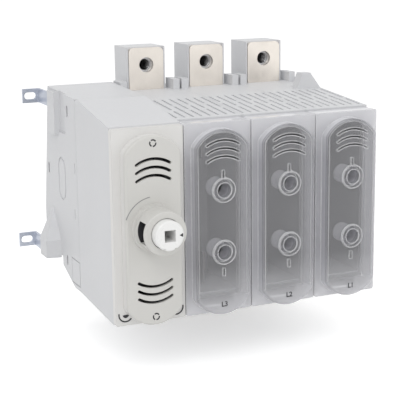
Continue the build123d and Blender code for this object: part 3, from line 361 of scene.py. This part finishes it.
def clear_plastic(name, colours):
    """Clear polycarbonate: a clear raised window, a matt frame, paler and hazier ends that are painted light,
    and edges made white as a painted highlight.
    """
    finish = Finish(name)
    rounded, edge = finish.edges(radius=0.0018)
    glance = finish.add("ShaderNodeLayerWeight", Blend=0.5).outputs["Facing"]
    body = finish.ramp(glance, GLANCE_RANGE, BODY_ALPHA)
    # Painted highlight: along the edges the covers turn nearly white and solid
    glint_alpha = finish.ramp(edge, (0.0, 0.7), EDGE_GLINT_ALPHA)
    axes = finish.axes()
    flank = finish.ramp(axes["Y"], COVER_FRAME, FULL)
    top = finish.ramp(axes["Z"], COVER_TOP_LIGHT, FULL)
    bottom = finish.ramp(axes["Z"], COVER_BOTTOM_LIGHT, FULL)
    # Painted light: the top of the frame and the foot of the cover turn paler and hazier, as if they caught
    # the light
    ends = finish.math("MAXIMUM", finish.math("MULTIPLY", top, flank), bottom)
    frame_haze = finish.ramp(flank, FULL, FRAME_HAZE)
    end_light_haze = finish.ramp(ends, FULL, END_LIGHT_HAZE)
    hazy = finish.math("ADD", body, finish.math("ADD", frame_haze, end_light_haze))
    window = finish.mottled(finish.noise(scale=30.0), tuple(colours.clear), dark=0.96, light=1.04)
    framed = finish.tint(flank, window, tuple(colours.clear_frame))
    end_light = finish.tint(ends, framed, tuple(colours.end_light))
    finish.surface(
        Base_Color=finish.tint(finish.ramp(edge, (0.0, 0.5), FULL), end_light, tuple(colours.edge_glint)),
        Roughness=finish.spread(finish.noise(scale=80.0), low=0.05, high=0.10),
        Alpha=finish.math("MAXIMUM", hazy, glint_alpha),
        IOR=CLEAR_IOR,
    )
    finish.bump(finish.noise(scale=45.0, detail=1.0), distance=0.0002, strength=0.15, normal=rounded)
    return finish.material


def rim_glint_plastic(name, colour):
    """Bright beads at the ends of the clear ports, a painted highlight in place of the light their rims
    catch.
    """
    finish = Finish(name)
    rounded, edge = finish.edges(radius=0.0005)
    streaks = finish.noise(scale=700.0, stretch=(1.0, 0.3, 1.0))
    finish.surface(
        Base_Color=finish.mottled(streaks, colour, dark=0.8, light=1.05),
        Roughness=finish.spread(finish.noise(scale=80.0), low=0.08, high=0.16),
        Alpha=finish.ramp(edge, FULL, (0.3, 0.95)),
        IOR=CLEAR_IOR,
    )
    finish.bump(streaks, distance=0.0002, strength=0.3, normal=rounded)
    return finish.material


def ink_and_shade_black(name, colour):
    """Black for printed marks and for painted shade: nearly flat black with a faint speckle."""
    finish = Finish(name)
    speckle_scale = 2500.0
    finish.surface(
        Base_Color=finish.mottled(finish.noise(speckle_scale), colour, dark=1.0, light=2.5),
        Roughness=finish.spread(finish.noise(scale=900.0), low=0.5, high=0.65),
    )
    finish.bump(finish.noise(speckle_scale, detail=1.0), distance=0.00002, strength=0.4)
    return finish.material


# The materials that are made so far
FINISHES = {}


def finish_of(key):
    """The material of a finish, made on first use."""
    if key in FINISHES:
        return FINISHES[key]
    colours = bpy.context.scene.switch_colours
    makers = {
        "drive": lambda: moulded_plastic("drive plastic", tuple(colours.drive), lit_border=tuple(colours.lit_border)),
        "housing": lambda: moulded_plastic("housing plastic", tuple(colours.housing), roughness=0.45),
        "coupler": lambda: moulded_plastic(
            "coupler plastic", tuple(colours.coupler), roughness=0.3, grain=2200.0, depth=0.00003
        ),
        "liner": lambda: moulded_plastic("liner plastic", tuple(colours.liner), roughness=0.5),
        "roller": lambda: moulded_plastic("roller plastic", tuple(colours.roller), roughness=0.4),
        "clear": lambda: clear_plastic("clear polycarbonate", colours),
        "rim": lambda: rim_glint_plastic("clear rim", tuple(colours.rim)),
        "tin": lambda: plated_metal("tin plating", tuple(colours.tin), 0.36, brushed=(1.0, 1.0, 0.12)),
        "silver": lambda: plated_metal("silver plating", tuple(colours.silver), 0.28),
        "jaw": lambda: plated_metal("tarnished silver", tuple(colours.jaw), 0.42),
        "zinc": lambda: plated_metal("zinc plating", tuple(colours.zinc), 0.34, patch=220.0),
        "steel": lambda: plated_metal("machined steel", tuple(colours.steel), 0.3, brushed=(0.15, 1.0, 1.0)),
        "bronze": lambda: plated_metal("bearing bronze", tuple(colours.bronze), 0.35),
        "ink_and_shade": lambda: ink_and_shade_black("black ink", tuple(colours.ink_and_shade)),
        "shadow": lambda: moulded_plastic("shadow line", tuple(colours.liner), roughness=0.6),
    }
    FINISHES[key] = makers[key]()
    return FINISHES[key]


NODE_FINISHES = {
    "drive_cover": "drive", "drive_front_case": "housing", "drive_rear_case": "housing",
    "shaft_coupler": "coupler", "drive_frame": "zinc", "slide_yoke": "zinc",
    "shaft_bush": "bronze", "roller_bushes": "bronze",
}
GROUP_FINISHES = (
    ("pole_housing", "housing"), ("fuse_tray", "liner"), ("fuse_cover", "clear"), ("_jaw_", "jaw"),
    ("_contact_roller", "roller"), ("_contact_", "silver"), ("_terminal_", "tin"), ("_bracket", "zinc"),
)


def finish_key(node):
    """Which finish a CAD node takes: its own, its group's, or steel."""
    if node in NODE_FINISHES:
        return NODE_FINISHES[node]
    for part, key in GROUP_FINISHES:
        if part in node:
            return key
    return "steel"


def show(name, mesh, body, finish):
    """Links a finished mesh as a piece that rides on a body."""
    mesh.name = name
    mesh.materials.clear()
    mesh.materials.append(finish_of(finish))
    piece = bpy.data.objects.new(name, mesh)
    bpy.context.scene.collection.objects.link(piece)
    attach(piece, body)
    return piece


# Corners nearer than this are one
WELD = 0.000001


def mesh_of(work, name):
    """The mesh of a finished bmesh, which is freed."""
    mesh = bpy.data.meshes.new(name)
    work.to_mesh(mesh)
    work.free()
    return mesh


def mesh_from(holder):
    """The mesh of an unlinked text or modified object, which is removed."""
    bpy.context.scene.collection.objects.link(holder)
    bpy.context.view_layer.update()
    graph = bpy.context.evaluated_depsgraph_get()
    mesh = bpy.data.meshes.new_from_object(holder.evaluated_get(graph), depsgraph=graph)
    holder.modifiers.clear()
    bpy.data.objects.remove(holder)
    return mesh


def prisms(name, outlines, y_front, y_back):
    """One mesh of prisms: each outline is a list of (x, z), seen from the front."""
    work = bmesh.new()
    for outline in outlines:
        face = work.faces.new([work.verts.new((x, y_front, z)) for x, z in outline])
        grown = bmesh.ops.extrude_face_region(work, geom=[face])
        new_verts = [item for item in grown["geom"] if isinstance(item, bmesh.types.BMVert)]
        bmesh.ops.translate(work, verts=new_verts, vec=(0, y_back - y_front, 0))
    bmesh.ops.recalc_face_normals(work, faces=work.faces)
    return mesh_of(work, name)


def turned(name, outline, steps):
    """A mesh turned about the Y axis from an outline of (radius, y), closed where the radius is zero."""
    work = bmesh.new()
    rings = []
    for radius, y in outline:
        if radius == 0:
            rings.append([work.verts.new((0, y, 0))] * steps)
            continue
        angles = [math.tau * step / steps for step in range(steps)]
        rings.append([work.verts.new((radius * math.cos(a), y, radius * math.sin(a))) for a in angles])
    for first, second in zip(rings, rings[1:]):
        for step in range(steps):
            corners = (first[step], first[step - 1], second[step - 1], second[step])
            work.faces.new(list(dict.fromkeys(corners)))
    bmesh.ops.remove_doubles(work, verts=work.verts, dist=WELD)
    bmesh.ops.recalc_face_normals(work, faces=work.faces)
    return mesh_of(work, name)


def arc_points(x, z, radius, start, end, steps):
    """Points along an arc round (x, z) between two angles in degrees."""
    angles = [math.radians(start + (end - start) * step / steps) for step in range(steps + 1)]
    return [(x + radius * math.cos(a), z + radius * math.sin(a)) for a in angles]


def arc_outline(x, z, radius, width, start, end, steps=24):
    """Outline of a curved band round (x, z) between two angles in degrees."""
    outer = arc_points(x, z, radius + width / 2, start, end, steps)
    inner = arc_points(x, z, radius - width / 2, start, end, steps)
    return outer + inner[::-1]


def joined(name, copies):
    """One mesh of copies, each of which is a mesh and its place."""
    work = bmesh.new()
    for mesh, place in copies:
        copy = mesh.copy()
        copy.transform(place)
        work.from_mesh(copy)
        bpy.data.meshes.remove(copy)
    return mesh_of(work, name)


class Growth(Tree):
    """A Geometry Nodes tree under construction, with named inputs."""

    def __init__(self, name, sizes):
        super().__init__(bpy.data.node_groups.new(name, "GeometryNodeTree"))
        self.tree.interface.new_socket("Geometry", in_out="OUTPUT", socket_type="NodeSocketGeometry")
        self.values = {}
        for key, value in sizes.items():
            kind = "NodeSocketInt" if isinstance(value, int) else "NodeSocketFloat"
            socket = self.tree.interface.new_socket(key, in_out="INPUT", socket_type=kind)
            self.values[socket.identifier] = value
        self.inputs = self.tree.nodes.new("NodeGroupInput").outputs

    def circle(self, radius, resolution):
        """A closed ring of straight edges."""
        return self.add("GeometryNodeCurvePrimitiveCircle", Resolution=resolution, Radius=radius).outputs[0]

    def strip(self, width, height):
        """A flat rectangular section."""
        return self.add("GeometryNodeCurvePrimitiveQuadrilateral", Width=width, Height=height).outputs[0]

    def sweep(self, curve, profile, caps=False):
        """A section swept along a curve."""
        swept = self.add("GeometryNodeCurveToMesh", Curve=curve, Profile_Curve=profile, Fill_Caps=caps)
        return swept.outputs[0]

    def repeat(self, points, instance, **sockets):
        """An instance on each point."""
        spread = self.add("GeometryNodeInstanceOnPoints", Points=points, Instance=instance, **sockets)
        return spread.outputs[0]

    def grow(self, geometry, finish):
        """Realizes the instances, sets the material, and returns the result as a plain mesh."""
        real = self.add("GeometryNodeRealizeInstances", Geometry=geometry)
        dressed = self.add("GeometryNodeSetMaterial", Geometry=real.outputs[0], Material=finish_of(finish))
        end = self.tree.nodes.new("NodeGroupOutput")
        self.feed(end.inputs[0], dressed.outputs[0])
        holder = bpy.data.objects.new("holder", bpy.data.meshes.new("holder"))
        modifier = holder.modifiers.new("growth", "NODES")
        modifier.node_group = self.tree
        for identifier, value in self.values.items():
            modifier[identifier] = value
        return mesh_from(holder)


# Stands a shape that is drawn flat in XY upright, towards the viewer
FACE_VIEWER = Matrix.Rotation(math.radians(90), 4, "X")


def ring_mesh(radius, line, thickness):
    """Three arcs in a ring, drawn flat in XY."""
    growth = Growth("ring of arcs", {"Arcs": 3, "Radius": radius, "Line": line, "Thickness": thickness})
    arc = growth.add(
        "GeometryNodeCurveArc", Resolution=14, Radius=growth.inputs["Radius"], Sweep_Angle=math.radians(96)
    )
    profile = growth.strip(growth.inputs["Line"], growth.inputs["Thickness"])
    band = growth.sweep(arc.outputs["Curve"], profile, caps=True)
    points = growth.add("GeometryNodePoints", Count=growth.inputs["Arcs"])
    index = growth.add("GeometryNodeInputIndex").outputs[0]
    turn = growth.math("DIVIDE", growth.math("MULTIPLY", index, math.tau), growth.inputs["Arcs"])
    rotation = growth.add("ShaderNodeCombineXYZ", Z=turn)
    arcs = growth.repeat(points.outputs[0], band, Rotation=rotation.outputs[0])
    return growth.grow(arcs, "ink_and_shade")


def band_mesh(radius, width, thickness):
    """A flat ring of rectangular section, drawn in XY."""
    growth = Growth("ring", {"Radius": radius, "Width": width, "Thickness": thickness})
    profile = growth.strip(growth.inputs["Width"], growth.inputs["Thickness"])
    circle = growth.circle(growth.inputs["Radius"], resolution=48)
    # The ring takes the bright rim finish, which is a painted highlight
    return growth.grow(growth.sweep(circle, profile), "rim")


def thread_mesh(radius, pitch, depth, turns):
    """Thread ridges round a bore that runs along Z."""
    growth = Growth("thread", {"Turns": turns, "Radius": radius, "Pitch": pitch, "Depth": depth})
    circle = growth.circle(growth.inputs["Radius"], resolution=32)
    ridge = growth.sweep(circle, growth.circle(growth.inputs["Depth"], resolution=4))
    offset = growth.add("ShaderNodeCombineXYZ", Z=growth.inputs["Pitch"])
    line = growth.add("GeometryNodeMeshLine", Count=growth.inputs["Turns"], Offset=offset.outputs[0])
    return growth.grow(growth.repeat(line.outputs[0], ridge), "steel")


def coil_mesh(turns, radius, wire, height):
    """A coil spring round the Z axis, from zero up to a height."""
    sizes = {"Turns": float(turns), "Radius": radius, "Wire radius": wire / 2, "Height": height}
    growth = Growth("coil", sizes)
    coil = growth.add(
        "GeometryNodeCurveSpiral", Resolution=24, Rotations=growth.inputs["Turns"],
        Start_Radius=growth.inputs["Radius"], End_Radius=growth.inputs["Radius"],
        Height=growth.inputs["Height"],
    )
    profile = growth.circle(growth.inputs["Wire radius"], resolution=8)
    return growth.grow(growth.sweep(coil.outputs[0], profile, caps=True), "steel")


class SWITCH_OT_finishes(bpy.types.Operator):
    """Gives every CAD node its procedural finish"""

    bl_idname = "switch.finishes"
    bl_label = "Finishes"

    def execute(self, context):
        for name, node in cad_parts.items():
            node.data.materials.clear()
            node.data.materials.append(finish_of(finish_key(name)))
        return {"FINISHED"}


class SWITCH_OT_ring_marks(bpy.types.Operator):
    """Draws the ring marks above and below the drive module's vents as black lines, which paint the shade of
    their engraving
    """

    bl_idname = "switch.ring_marks"
    bl_label = "Ring marks"

    heights: lengths_property("Heights", "Heights of the marks above the frame's foot", (0.1629, 0.0085))
    turn: bpy.props.FloatProperty(
        name="Turn", description="How far the arcs are turned in their ring", subtype="ANGLE", default=0.5
    )

    def execute(self, context):
        sizes = context.scene.switch_sizes
        ring = ring_mesh(sizes.mark_radius, sizes.mark_line, 2 * sizes.print_depth)
        x = middle("shaft_coupler").x
        upright = FACE_VIEWER @ Matrix.Rotation(self.turn, 4, "Z")
        copies = [
            (ring, Matrix.Translation((x, PANEL_Y, FRAME_FOOT + height)) @ upright) for height in self.heights
        ]
        show("ring_marks", joined("ring_marks", copies), "switch_body", "ink_and_shade")
        return {"FINISHED"}


class SWITCH_OT_drive_marks(bpy.types.Operator):
    """Draws the guide arc beside the collar and the hooks at the lower corners of the drive module, as dark
    bands that paint the shade of the engraved arc and of the recessed hooks
    """

    bl_idname = "switch.drive_marks"
    bl_label = "Drive marks"

    arc_radius: length_property("Arc radius", "Radius of the guide arc round the drive axis", 0.0275)
    arc_line: length_property("Arc line", "Width of the guide arc", 0.0007)
    arc_span: bpy.props.FloatVectorProperty(
        name="Arc span", description="Angles in degrees between which the guide arc runs",
        size=2, default=(98, 160),
    )
    arc_relief: lengths_property(
        "Arc relief", "The guide arc's depth before and behind the panel", (0.0001, 0.0003)
    )
    hook_place: lengths_property(
        "Hook place", "Hooks' distance from the drive axis, and height above the frame's foot",
        (0.0242, 0.0102),
    )
    hook_lines: lengths_property("Hook lines", "Line width of a hook's bow and of its core", (0.0011, 0.0026))
    hook_radii: lengths_property("Hook radii", "Radius of a hook's bow and of its core", (0.0064, 0.0016))
    hook_relief: length_property("Hook relief", "The hooks' depth before and behind the frame", 0.0004)

    def execute(self, context):
        centre = middle("shaft_coupler")
        arc = arc_outline(centre.x, centre.z, self.arc_radius, self.arc_line, *self.arc_span)
        proud, sunk = self.arc_relief
        arc_mesh = prisms("guide_arc", [arc], PANEL_Y - proud, PANEL_Y + sunk)
        show("guide_arc", arc_mesh, "switch_body", "shadow")
        hooks = []
        bow_span = (168, 322)
        core_span = (190, 350)
        for side in (-1, 1):
            x = centre.x + side * self.hook_place[0]
            z = FRAME_FOOT + self.hook_place[1]
            for radius, line, span in zip(self.hook_radii, self.hook_lines, (bow_span, core_span)):
                start, end = span if side < 0 else (180 - angle for angle in span)
                hooks.append(arc_outline(x, z, radius, line, start, end))
        # Painted shade: the hooks' recesses are drawn as black bands
        hook_mesh = prisms("corner_hook_shades", hooks, FRAME_Y - self.hook_relief, FRAME_Y + self.hook_relief)
        show("corner_hook_shades", hook_mesh, "switch_body", "ink_and_shade")
        return {"FINISHED"}


class SWITCH_OT_coupler_arrow(bpy.types.Operator):
    """Prints the black arrow on the coupler's face"""

    bl_idname = "switch.coupler_arrow"
    bl_label = "Coupler arrow"

    reach: length_property("Reach", "From the drive axis to the arrow's tip", 0.0085)
    spread: number_property("Spread", "Half the arrow's width as a share of its length", 0.55)

    def execute(self, context):
        sizes = context.scene.switch_sizes
        centre = middle("shaft_coupler")
        face = front("shaft_coupler")
        tip = centre.x + self.reach
        back = tip + sizes.arrow
        half = sizes.arrow * self.spread
        outline = [(tip, centre.z), (back, centre.z + half), (back, centre.z - half)]
        mesh = prisms("coupler_arrow", [outline], face - sizes.print_depth, face + sizes.print_depth)
        show("coupler_arrow", mesh, "rotor", "ink_and_shade")
        return {"FINISHED"}


class SWITCH_OT_coupler_shade_sleeve(bpy.types.Operator):
    """Puts a dark sleeve round the coupler, a painted shade seen through the window in the collar"""

    bl_idname = "switch.coupler_sleeve"
    bl_label = "Coupler sleeve"

    inner: length_property("Inner radius", "Inner radius of the sleeve", 0.01305)
    outer: length_property("Outer radius", "Outer radius of the sleeve", 0.0133)
    setback: length_property("Setback", "From the coupler's face to the sleeve", 0.0105)
    length: length_property("Length", "Length of the sleeve", 0.0185)

    def execute(self, context):
        start = front("shaft_coupler") + self.setback
        end = start + self.length
        outline = [
            (self.inner, start), (self.outer, start), (self.outer, end), (self.inner, end),
            (self.inner, start),
        ]
        shade_sleeve = turned("coupler_sleeve", outline, steps=64)
        centre = middle("shaft_coupler")
        shade_sleeve.transform(Matrix.Translation((centre.x, 0, centre.z)))
        show("coupler_sleeve", shade_sleeve, "rotor", "ink_and_shade")
        return {"FINISHED"}


class SWITCH_OT_window_shade_lining(bpy.types.Operator):
    """Lines the rear wall of the collar's window in black, a painted shade for the dark inside of the collar
    """

    bl_idname = "switch.window_lining"
    bl_label = "Window lining"

    setback: length_property("Setback", "From the collar's face to the window's rear wall", 0.0175)
    height: length_property("Height", "Height of the lining", 0.0186)
    radii: lengths_property(
        "Radii", "The lining's outer and inner edge, from the drive axis", (0.0188, 0.0137)
    )
    thickness: length_property("Thickness", "Thickness of the lining, either side of the wall", 0.0003)

    def execute(self, context):
        centre = middle("shaft_coupler")
        outline = []
        for radius, way in zip(self.radii, (1, -1)):
            half = way * math.degrees(math.asin(self.height / 2 / radius))
            outline += arc_points(centre.x, centre.z, radius, 180 - half, 180 + half, steps=12)
        wall = front("drive_cover") + self.setback
        shade_lining = prisms("window_lining", [outline], wall - self.thickness, wall + self.thickness)
        show("window_lining", shade_lining, "switch_body", "ink_and_shade")
        return {"FINISHED"}


class SWITCH_OT_phase_marks(bpy.types.Operator):
    """Prints a phase mark at the foot of each clear cover"""

    bl_idname = "switch.phase_marks"
    bl_label = "Phase marks"

    height: length_property("Height", "Height of the marks above the frame's foot", 0.0085)
    size_share: number_property("Size share", "Text size as a share of the letter height", 1.35)
    weight: number_property("Weight", "How far the letters are thickened, as a share of their height", 0.035)

    def execute(self, context):
        sizes = context.scene.switch_sizes
        for index, mark in PHASES:
            text = bpy.data.curves.new(mark, "FONT")
            text.body = mark
            text.size = sizes.letter_height * self.size_share
            text.extrude = sizes.print_depth
            text.offset = sizes.letter_height * self.weight
            text.align_x = "CENTER"
            mesh = mesh_from(bpy.data.objects.new(mark, text))
            place = (middle(f"fuse_cover_{index}").x, PANEL_Y, FRAME_FOOT + self.height)
            mesh.transform(Matrix.Translation(place) @ FACE_VIEWER)
            show(f"phase_mark_{index}", mesh, f"cover_{index}", "ink_and_shade")
        return {"FINISHED"}


class SWITCH_OT_port_rim_glints(bpy.types.Operator):
    """Beads the ends of the test ports in the clear covers with bright rings, a painted highlight of their
    rims
    """

    bl_idname = "switch.port_rims"
    bl_label = "Port rims"

    heights: lengths_property("Heights", "Heights of the ports above the frame's foot", (0.1155, 0.0589))
    outer_ring: lengths_property(
        "Outer ring", "Radius, width and thickness of the bead round the front rim", (0.0106, 0.0010, 0.0012)
    )
    bore_ring: lengths_property(
        "Bore ring", "Radius, width and thickness of the bead at the bore's mouth", (0.0070, 0.0008, 0.0010)
    )
    rear_ring: lengths_property(
        "Rear ring", "Radius, width and thickness of the bead at the rear end", (0.0086, 0.0010, 0.0012)
    )
    port_length: length_property("Port length", "From a port's front face to its rear end", 0.0205)

    def execute(self, context):
        beads = ((self.outer_ring, 0.0), (self.bore_ring, 0.0), (self.rear_ring, self.port_length))
        rings = [(band_mesh(*sizes), depth) for sizes, depth in beads]
        for index, _ in PHASES:
            cover = f"fuse_cover_{index}"
            x = middle(cover).x
            face = front(cover)
            copies = [
                (ring, Matrix.Translation((x, face + depth, FRAME_FOOT + height)) @ FACE_VIEWER)
                for ring, depth in rings for height in self.heights
            ]
            name = f"port_rims_{index}"
            show(name, joined(name, copies), f"cover_{index}", "rim")
        return {"FINISHED"}


class SWITCH_OT_terminal_threads(bpy.types.Operator):
    """Puts the threads in the terminals' captive nuts, and dark cups behind them that paint the shade deep in
    the bores
    """

    bl_idname = "switch.terminal_threads"
    bl_label = "Terminal threads"

    bore: length_property("Bore", "Radius of the nut's bore", 0.006)
    nut_half: length_property("Half nut", "Half the height of a nut", 0.011)
    thread_end: length_property("Thread end", "From the nuts' rear face to the last ridge", 0.001)
    well: length_property("Bolt well", "Outer radius of the dark wells behind the nuts", 0.0074)
    well_wall: length_property("Well wall", "Thickness of the wells' walls", 0.001)
    well_gap: length_property("Well gap", "From the nuts' rear face to the wells", 0.0003)
    well_cover: length_property("Well cover", "How much shorter a well is than the room behind a nut", 0.0005)

    def execute(self, context):
        sizes = context.scene.switch_sizes
        low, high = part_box("terminal_nuts")
        turns = int((high.y - low.y) / sizes.thread_pitch)
        ring = thread_mesh(self.bore, sizes.thread_pitch, sizes.thread_depth, turns)
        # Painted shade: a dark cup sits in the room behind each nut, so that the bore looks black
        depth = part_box("pole_housing_1")[1].y - high.y - self.well_cover
        inside = self.well - self.well_wall
        outline = [
            (0, depth), (self.well, depth), (self.well, 0), (inside, 0),
            (inside, depth - self.well_wall), (0, depth - self.well_wall),
        ]
        shade_cup = turned("bolt_shade_cup", outline, steps=32)
        threads = []
        shade_cups = []
        for index, _ in PHASES:
            x = middle(f"top_terminal_{index}").x
            for z in (high.z - self.nut_half, low.z + self.nut_half):
                threads.append((ring, Matrix.Translation((x, high.y - self.thread_end, z)) @ FACE_VIEWER))
                shade_cups.append((shade_cup, Matrix.Translation((x, high.y + self.well_gap, z))))
        show("terminal_threads", joined("terminal_threads", threads), "switch_body", "steel")
        show("bolt_shade_cups", joined("bolt_shade_cups", shade_cups), "switch_body", "shadow")
        return {"FINISHED"}


class SWITCH_OT_yoke_springs(bpy.types.Operator):
    """Winds the two springs above the yoke, and hides the CAD springs"""

    bl_idname = "switch.yoke_springs"
    bl_label = "Yoke springs"

    turns: bpy.props.IntProperty(name="Turns", description="Turns of each coil", min=2, default=8)
    radius: length_property("Radius", "Radius of the coil's middle line", 0.0046)
    wire: length_property("Wire", "Thickness of the wire", 0.0014)

    def execute(self, context):
        low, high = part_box("return_springs")
        length = high.z - low.z
        coil = coil_mesh(self.turns, self.radius, self.wire, length - self.wire)
        reach = self.radius + self.wire / 2
        y = (low.y + high.y) / 2
        copies = [
            (coil, Matrix.Translation((x, y, low.z + self.wire / 2))) for x in (low.x + reach, high.x - reach)
        ]
        springs = joined("yoke_springs", copies)
        piece = show("yoke_springs", springs, "switch_body", "steel")
        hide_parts("return_springs")
        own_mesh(piece)
        return {"FINISHED"}


# Each lamp's name, place, width and height in metres, and power in watts
LAMPS = (
    ("key", (-0.9, -1.2, 1.3), (1.2, 1.0), 9),
    ("fill", (1.3, -1.0, 0.8), (1.0, 1.0), 4),
    ("top", (0.0, 0.2, 1.5), (1.4, 1.0), 2),
)
LAMP_TARGET = (0, -0.1, 0.05)
SENSOR_WIDTH = 36.0
CLIP_START = 0.05
CLIP_END = 50.0
FLOOR_GAP = 0.0005
FLOOR_REACH = 12.0
WHITE = (1, 1, 1, 1)


class SWITCH_OT_studio(bpy.types.Operator):
    """Sets the floor, the lamps, the white surroundings and the camera"""

    bl_idname = "switch.studio"
    bl_label = "Studio"

    azimuth: number_property("Azimuth", "Camera azimuth in degrees", -24.153)
    elevation: number_property("Elevation", "Camera elevation in degrees", 12.441)
    roll: number_property("Roll", "Camera roll in degrees", -0.709)
    distance: length_property("Distance", "Camera to target", 1.10166)
    lens: number_property("Lens", "Focal length in millimetres", 105.004)
    target: bpy.props.FloatVectorProperty(
        name="Target", description="Point at the middle of the view", subtype="XYZ",
        default=(-0.02337, -0.145, 0.05555),
    )
    surround: number_property("Surround", "Strength of the light from all round", 0.66)
    floor_glow: number_property("Floor glow", "White that the floor adds for the rays that show it", 0.42)

    def execute(self, context):
        scene = context.scene
        scene.view_settings.view_transform = "Standard"
        self.make_camera(scene)
        self.make_world(scene)
        self.make_floor(scene)
        for lamp in LAMPS:
            self.make_lamp(scene, *lamp)
        return {"FINISHED"}

    def make_lamp(self, scene, name, place, size, power):
        """A soft rectangular lamp that shines at the switch."""
        light = bpy.data.lights.new(name, "AREA")
        light.shape = "RECTANGLE"
        light.size, light.size_y = size
        light.energy = power
        holder = bpy.data.objects.new(name, light)
        holder.location = place
        aim = Vector(LAMP_TARGET) - Vector(place)
        holder.rotation_euler = aim.to_track_quat("-Z", "Y").to_euler()
        scene.collection.objects.link(holder)

    def make_camera(self, scene):
        """The camera of the photograph, by the angles from which it sees its target."""
        turn, rise, roll = (math.radians(v) for v in (self.azimuth, self.elevation, self.roll))
        back = Vector((math.sin(turn) * math.cos(rise), -math.cos(turn) * math.cos(rise), math.sin(rise)))
        level = Vector((math.cos(turn), math.sin(turn), 0))
        upright = back.cross(level)
        right = level * math.cos(roll) + upright * math.sin(roll)
        up = upright * math.cos(roll) - level * math.sin(roll)
        data = bpy.data.cameras.new("camera")
        data.sensor_width = SENSOR_WIDTH
        data.lens = self.lens
        data.clip_start = CLIP_START
        data.clip_end = CLIP_END
        holder = bpy.data.objects.new("camera", data)
        spin = Matrix((right, up, back)).transposed().to_4x4()
        holder.matrix_world = Matrix.Translation(Vector(self.target) + back * self.distance) @ spin
        scene.collection.objects.link(holder)
        scene.camera = holder

    def make_world(self, scene):
        """White surroundings, which light the switch less strongly than they show."""
        world = bpy.data.worlds.new("surroundings")
        world.use_nodes = True
        tree = Tree(world.node_tree)
        strength = tree.ramp(tree.seen_rays(), FULL, (self.surround, 1.0))
        tree.fill(world.node_tree.nodes["Background"], {"Color": WHITE, "Strength": strength})
        scene.world = world

    def make_floor(self, scene):
        """The floor just below the switch, which glows for the rays that show it."""
        low = CAD_BOX[0].z - FLOOR_GAP
        sides = ((-1, -1), (1, -1), (1, 1), (-1, 1))
        corners = [(x * FLOOR_REACH, y * FLOOR_REACH, low) for x, y in sides]
        mesh = bpy.data.meshes.new("floor")
        mesh.from_pydata(corners, [], [(0, 1, 2, 3)])
        finish = Finish("studio floor")
        colour = tuple(scene.switch_colours.floor)
        finish.surface(
            Base_Color=finish.mottled(finish.noise(scale=3.0), colour, dark=0.995, light=1.005),
            Roughness=0.9,
            Emission_Color=WHITE,
            Emission_Strength=finish.ramp(finish.seen_rays(), FULL, (0.0, self.floor_glow)),
        )
        mesh.materials.append(finish.material)
        floor = bpy.data.objects.new("floor", mesh)
        scene.collection.objects.link(floor)


class SWITCH_PT_panel(bpy.types.Panel):
    """Sidebar panel with the sizes, the colours and the steps"""

    bl_label = "Fuse switch disconnector"
    bl_idname = "SWITCH_PT_panel"
    bl_space_type = "VIEW_3D"
    bl_region_type = "UI"
    bl_category = "Switch"

    def draw(self, context):
        for group in (context.scene.switch_colours, context.scene.switch_sizes):
            for key in group.bl_rna.properties.keys():
                if key not in ("rna_type", "name"):
                    self.layout.prop(group, key)
        for step in STEPS:
            self.layout.operator(step.bl_idname)


STEPS = (
    SWITCH_OT_studio, SWITCH_OT_finishes, SWITCH_OT_ring_marks, SWITCH_OT_drive_marks,
    SWITCH_OT_coupler_arrow, SWITCH_OT_coupler_shade_sleeve, SWITCH_OT_window_shade_lining, SWITCH_OT_phase_marks,
    SWITCH_OT_port_rim_glints, SWITCH_OT_terminal_threads, SWITCH_OT_yoke_springs,
)
CLASSES = (SwitchColours, SwitchSizes, *STEPS, SWITCH_PT_panel)


def register():
    """Adds the classes, and the sizes and colours of the scene."""
    for cls in CLASSES:
        bpy.utils.register_class(cls)
    bpy.types.Scene.switch_colours = bpy.props.PointerProperty(type=SwitchColours)
    bpy.types.Scene.switch_sizes = bpy.props.PointerProperty(type=SwitchSizes)


def unregister():
    """Takes away what register adds."""
    del bpy.types.Scene.switch_sizes
    del bpy.types.Scene.switch_colours
    for cls in reversed(CLASSES):
        bpy.utils.unregister_class(cls)


def main():
    """Runs each step on the CAD frame."""
    register()
    bpy.ops.switch.studio()
    bpy.ops.switch.finishes()
    bpy.ops.switch.ring_marks()
    bpy.ops.switch.drive_marks()
    bpy.ops.switch.coupler_arrow()
    bpy.ops.switch.coupler_sleeve()
    bpy.ops.switch.window_lining()
    bpy.ops.switch.phase_marks()
    bpy.ops.switch.port_rims()
    bpy.ops.switch.terminal_threads()
    bpy.ops.switch.yoke_springs()


if __name__ == "__main__":
    main()
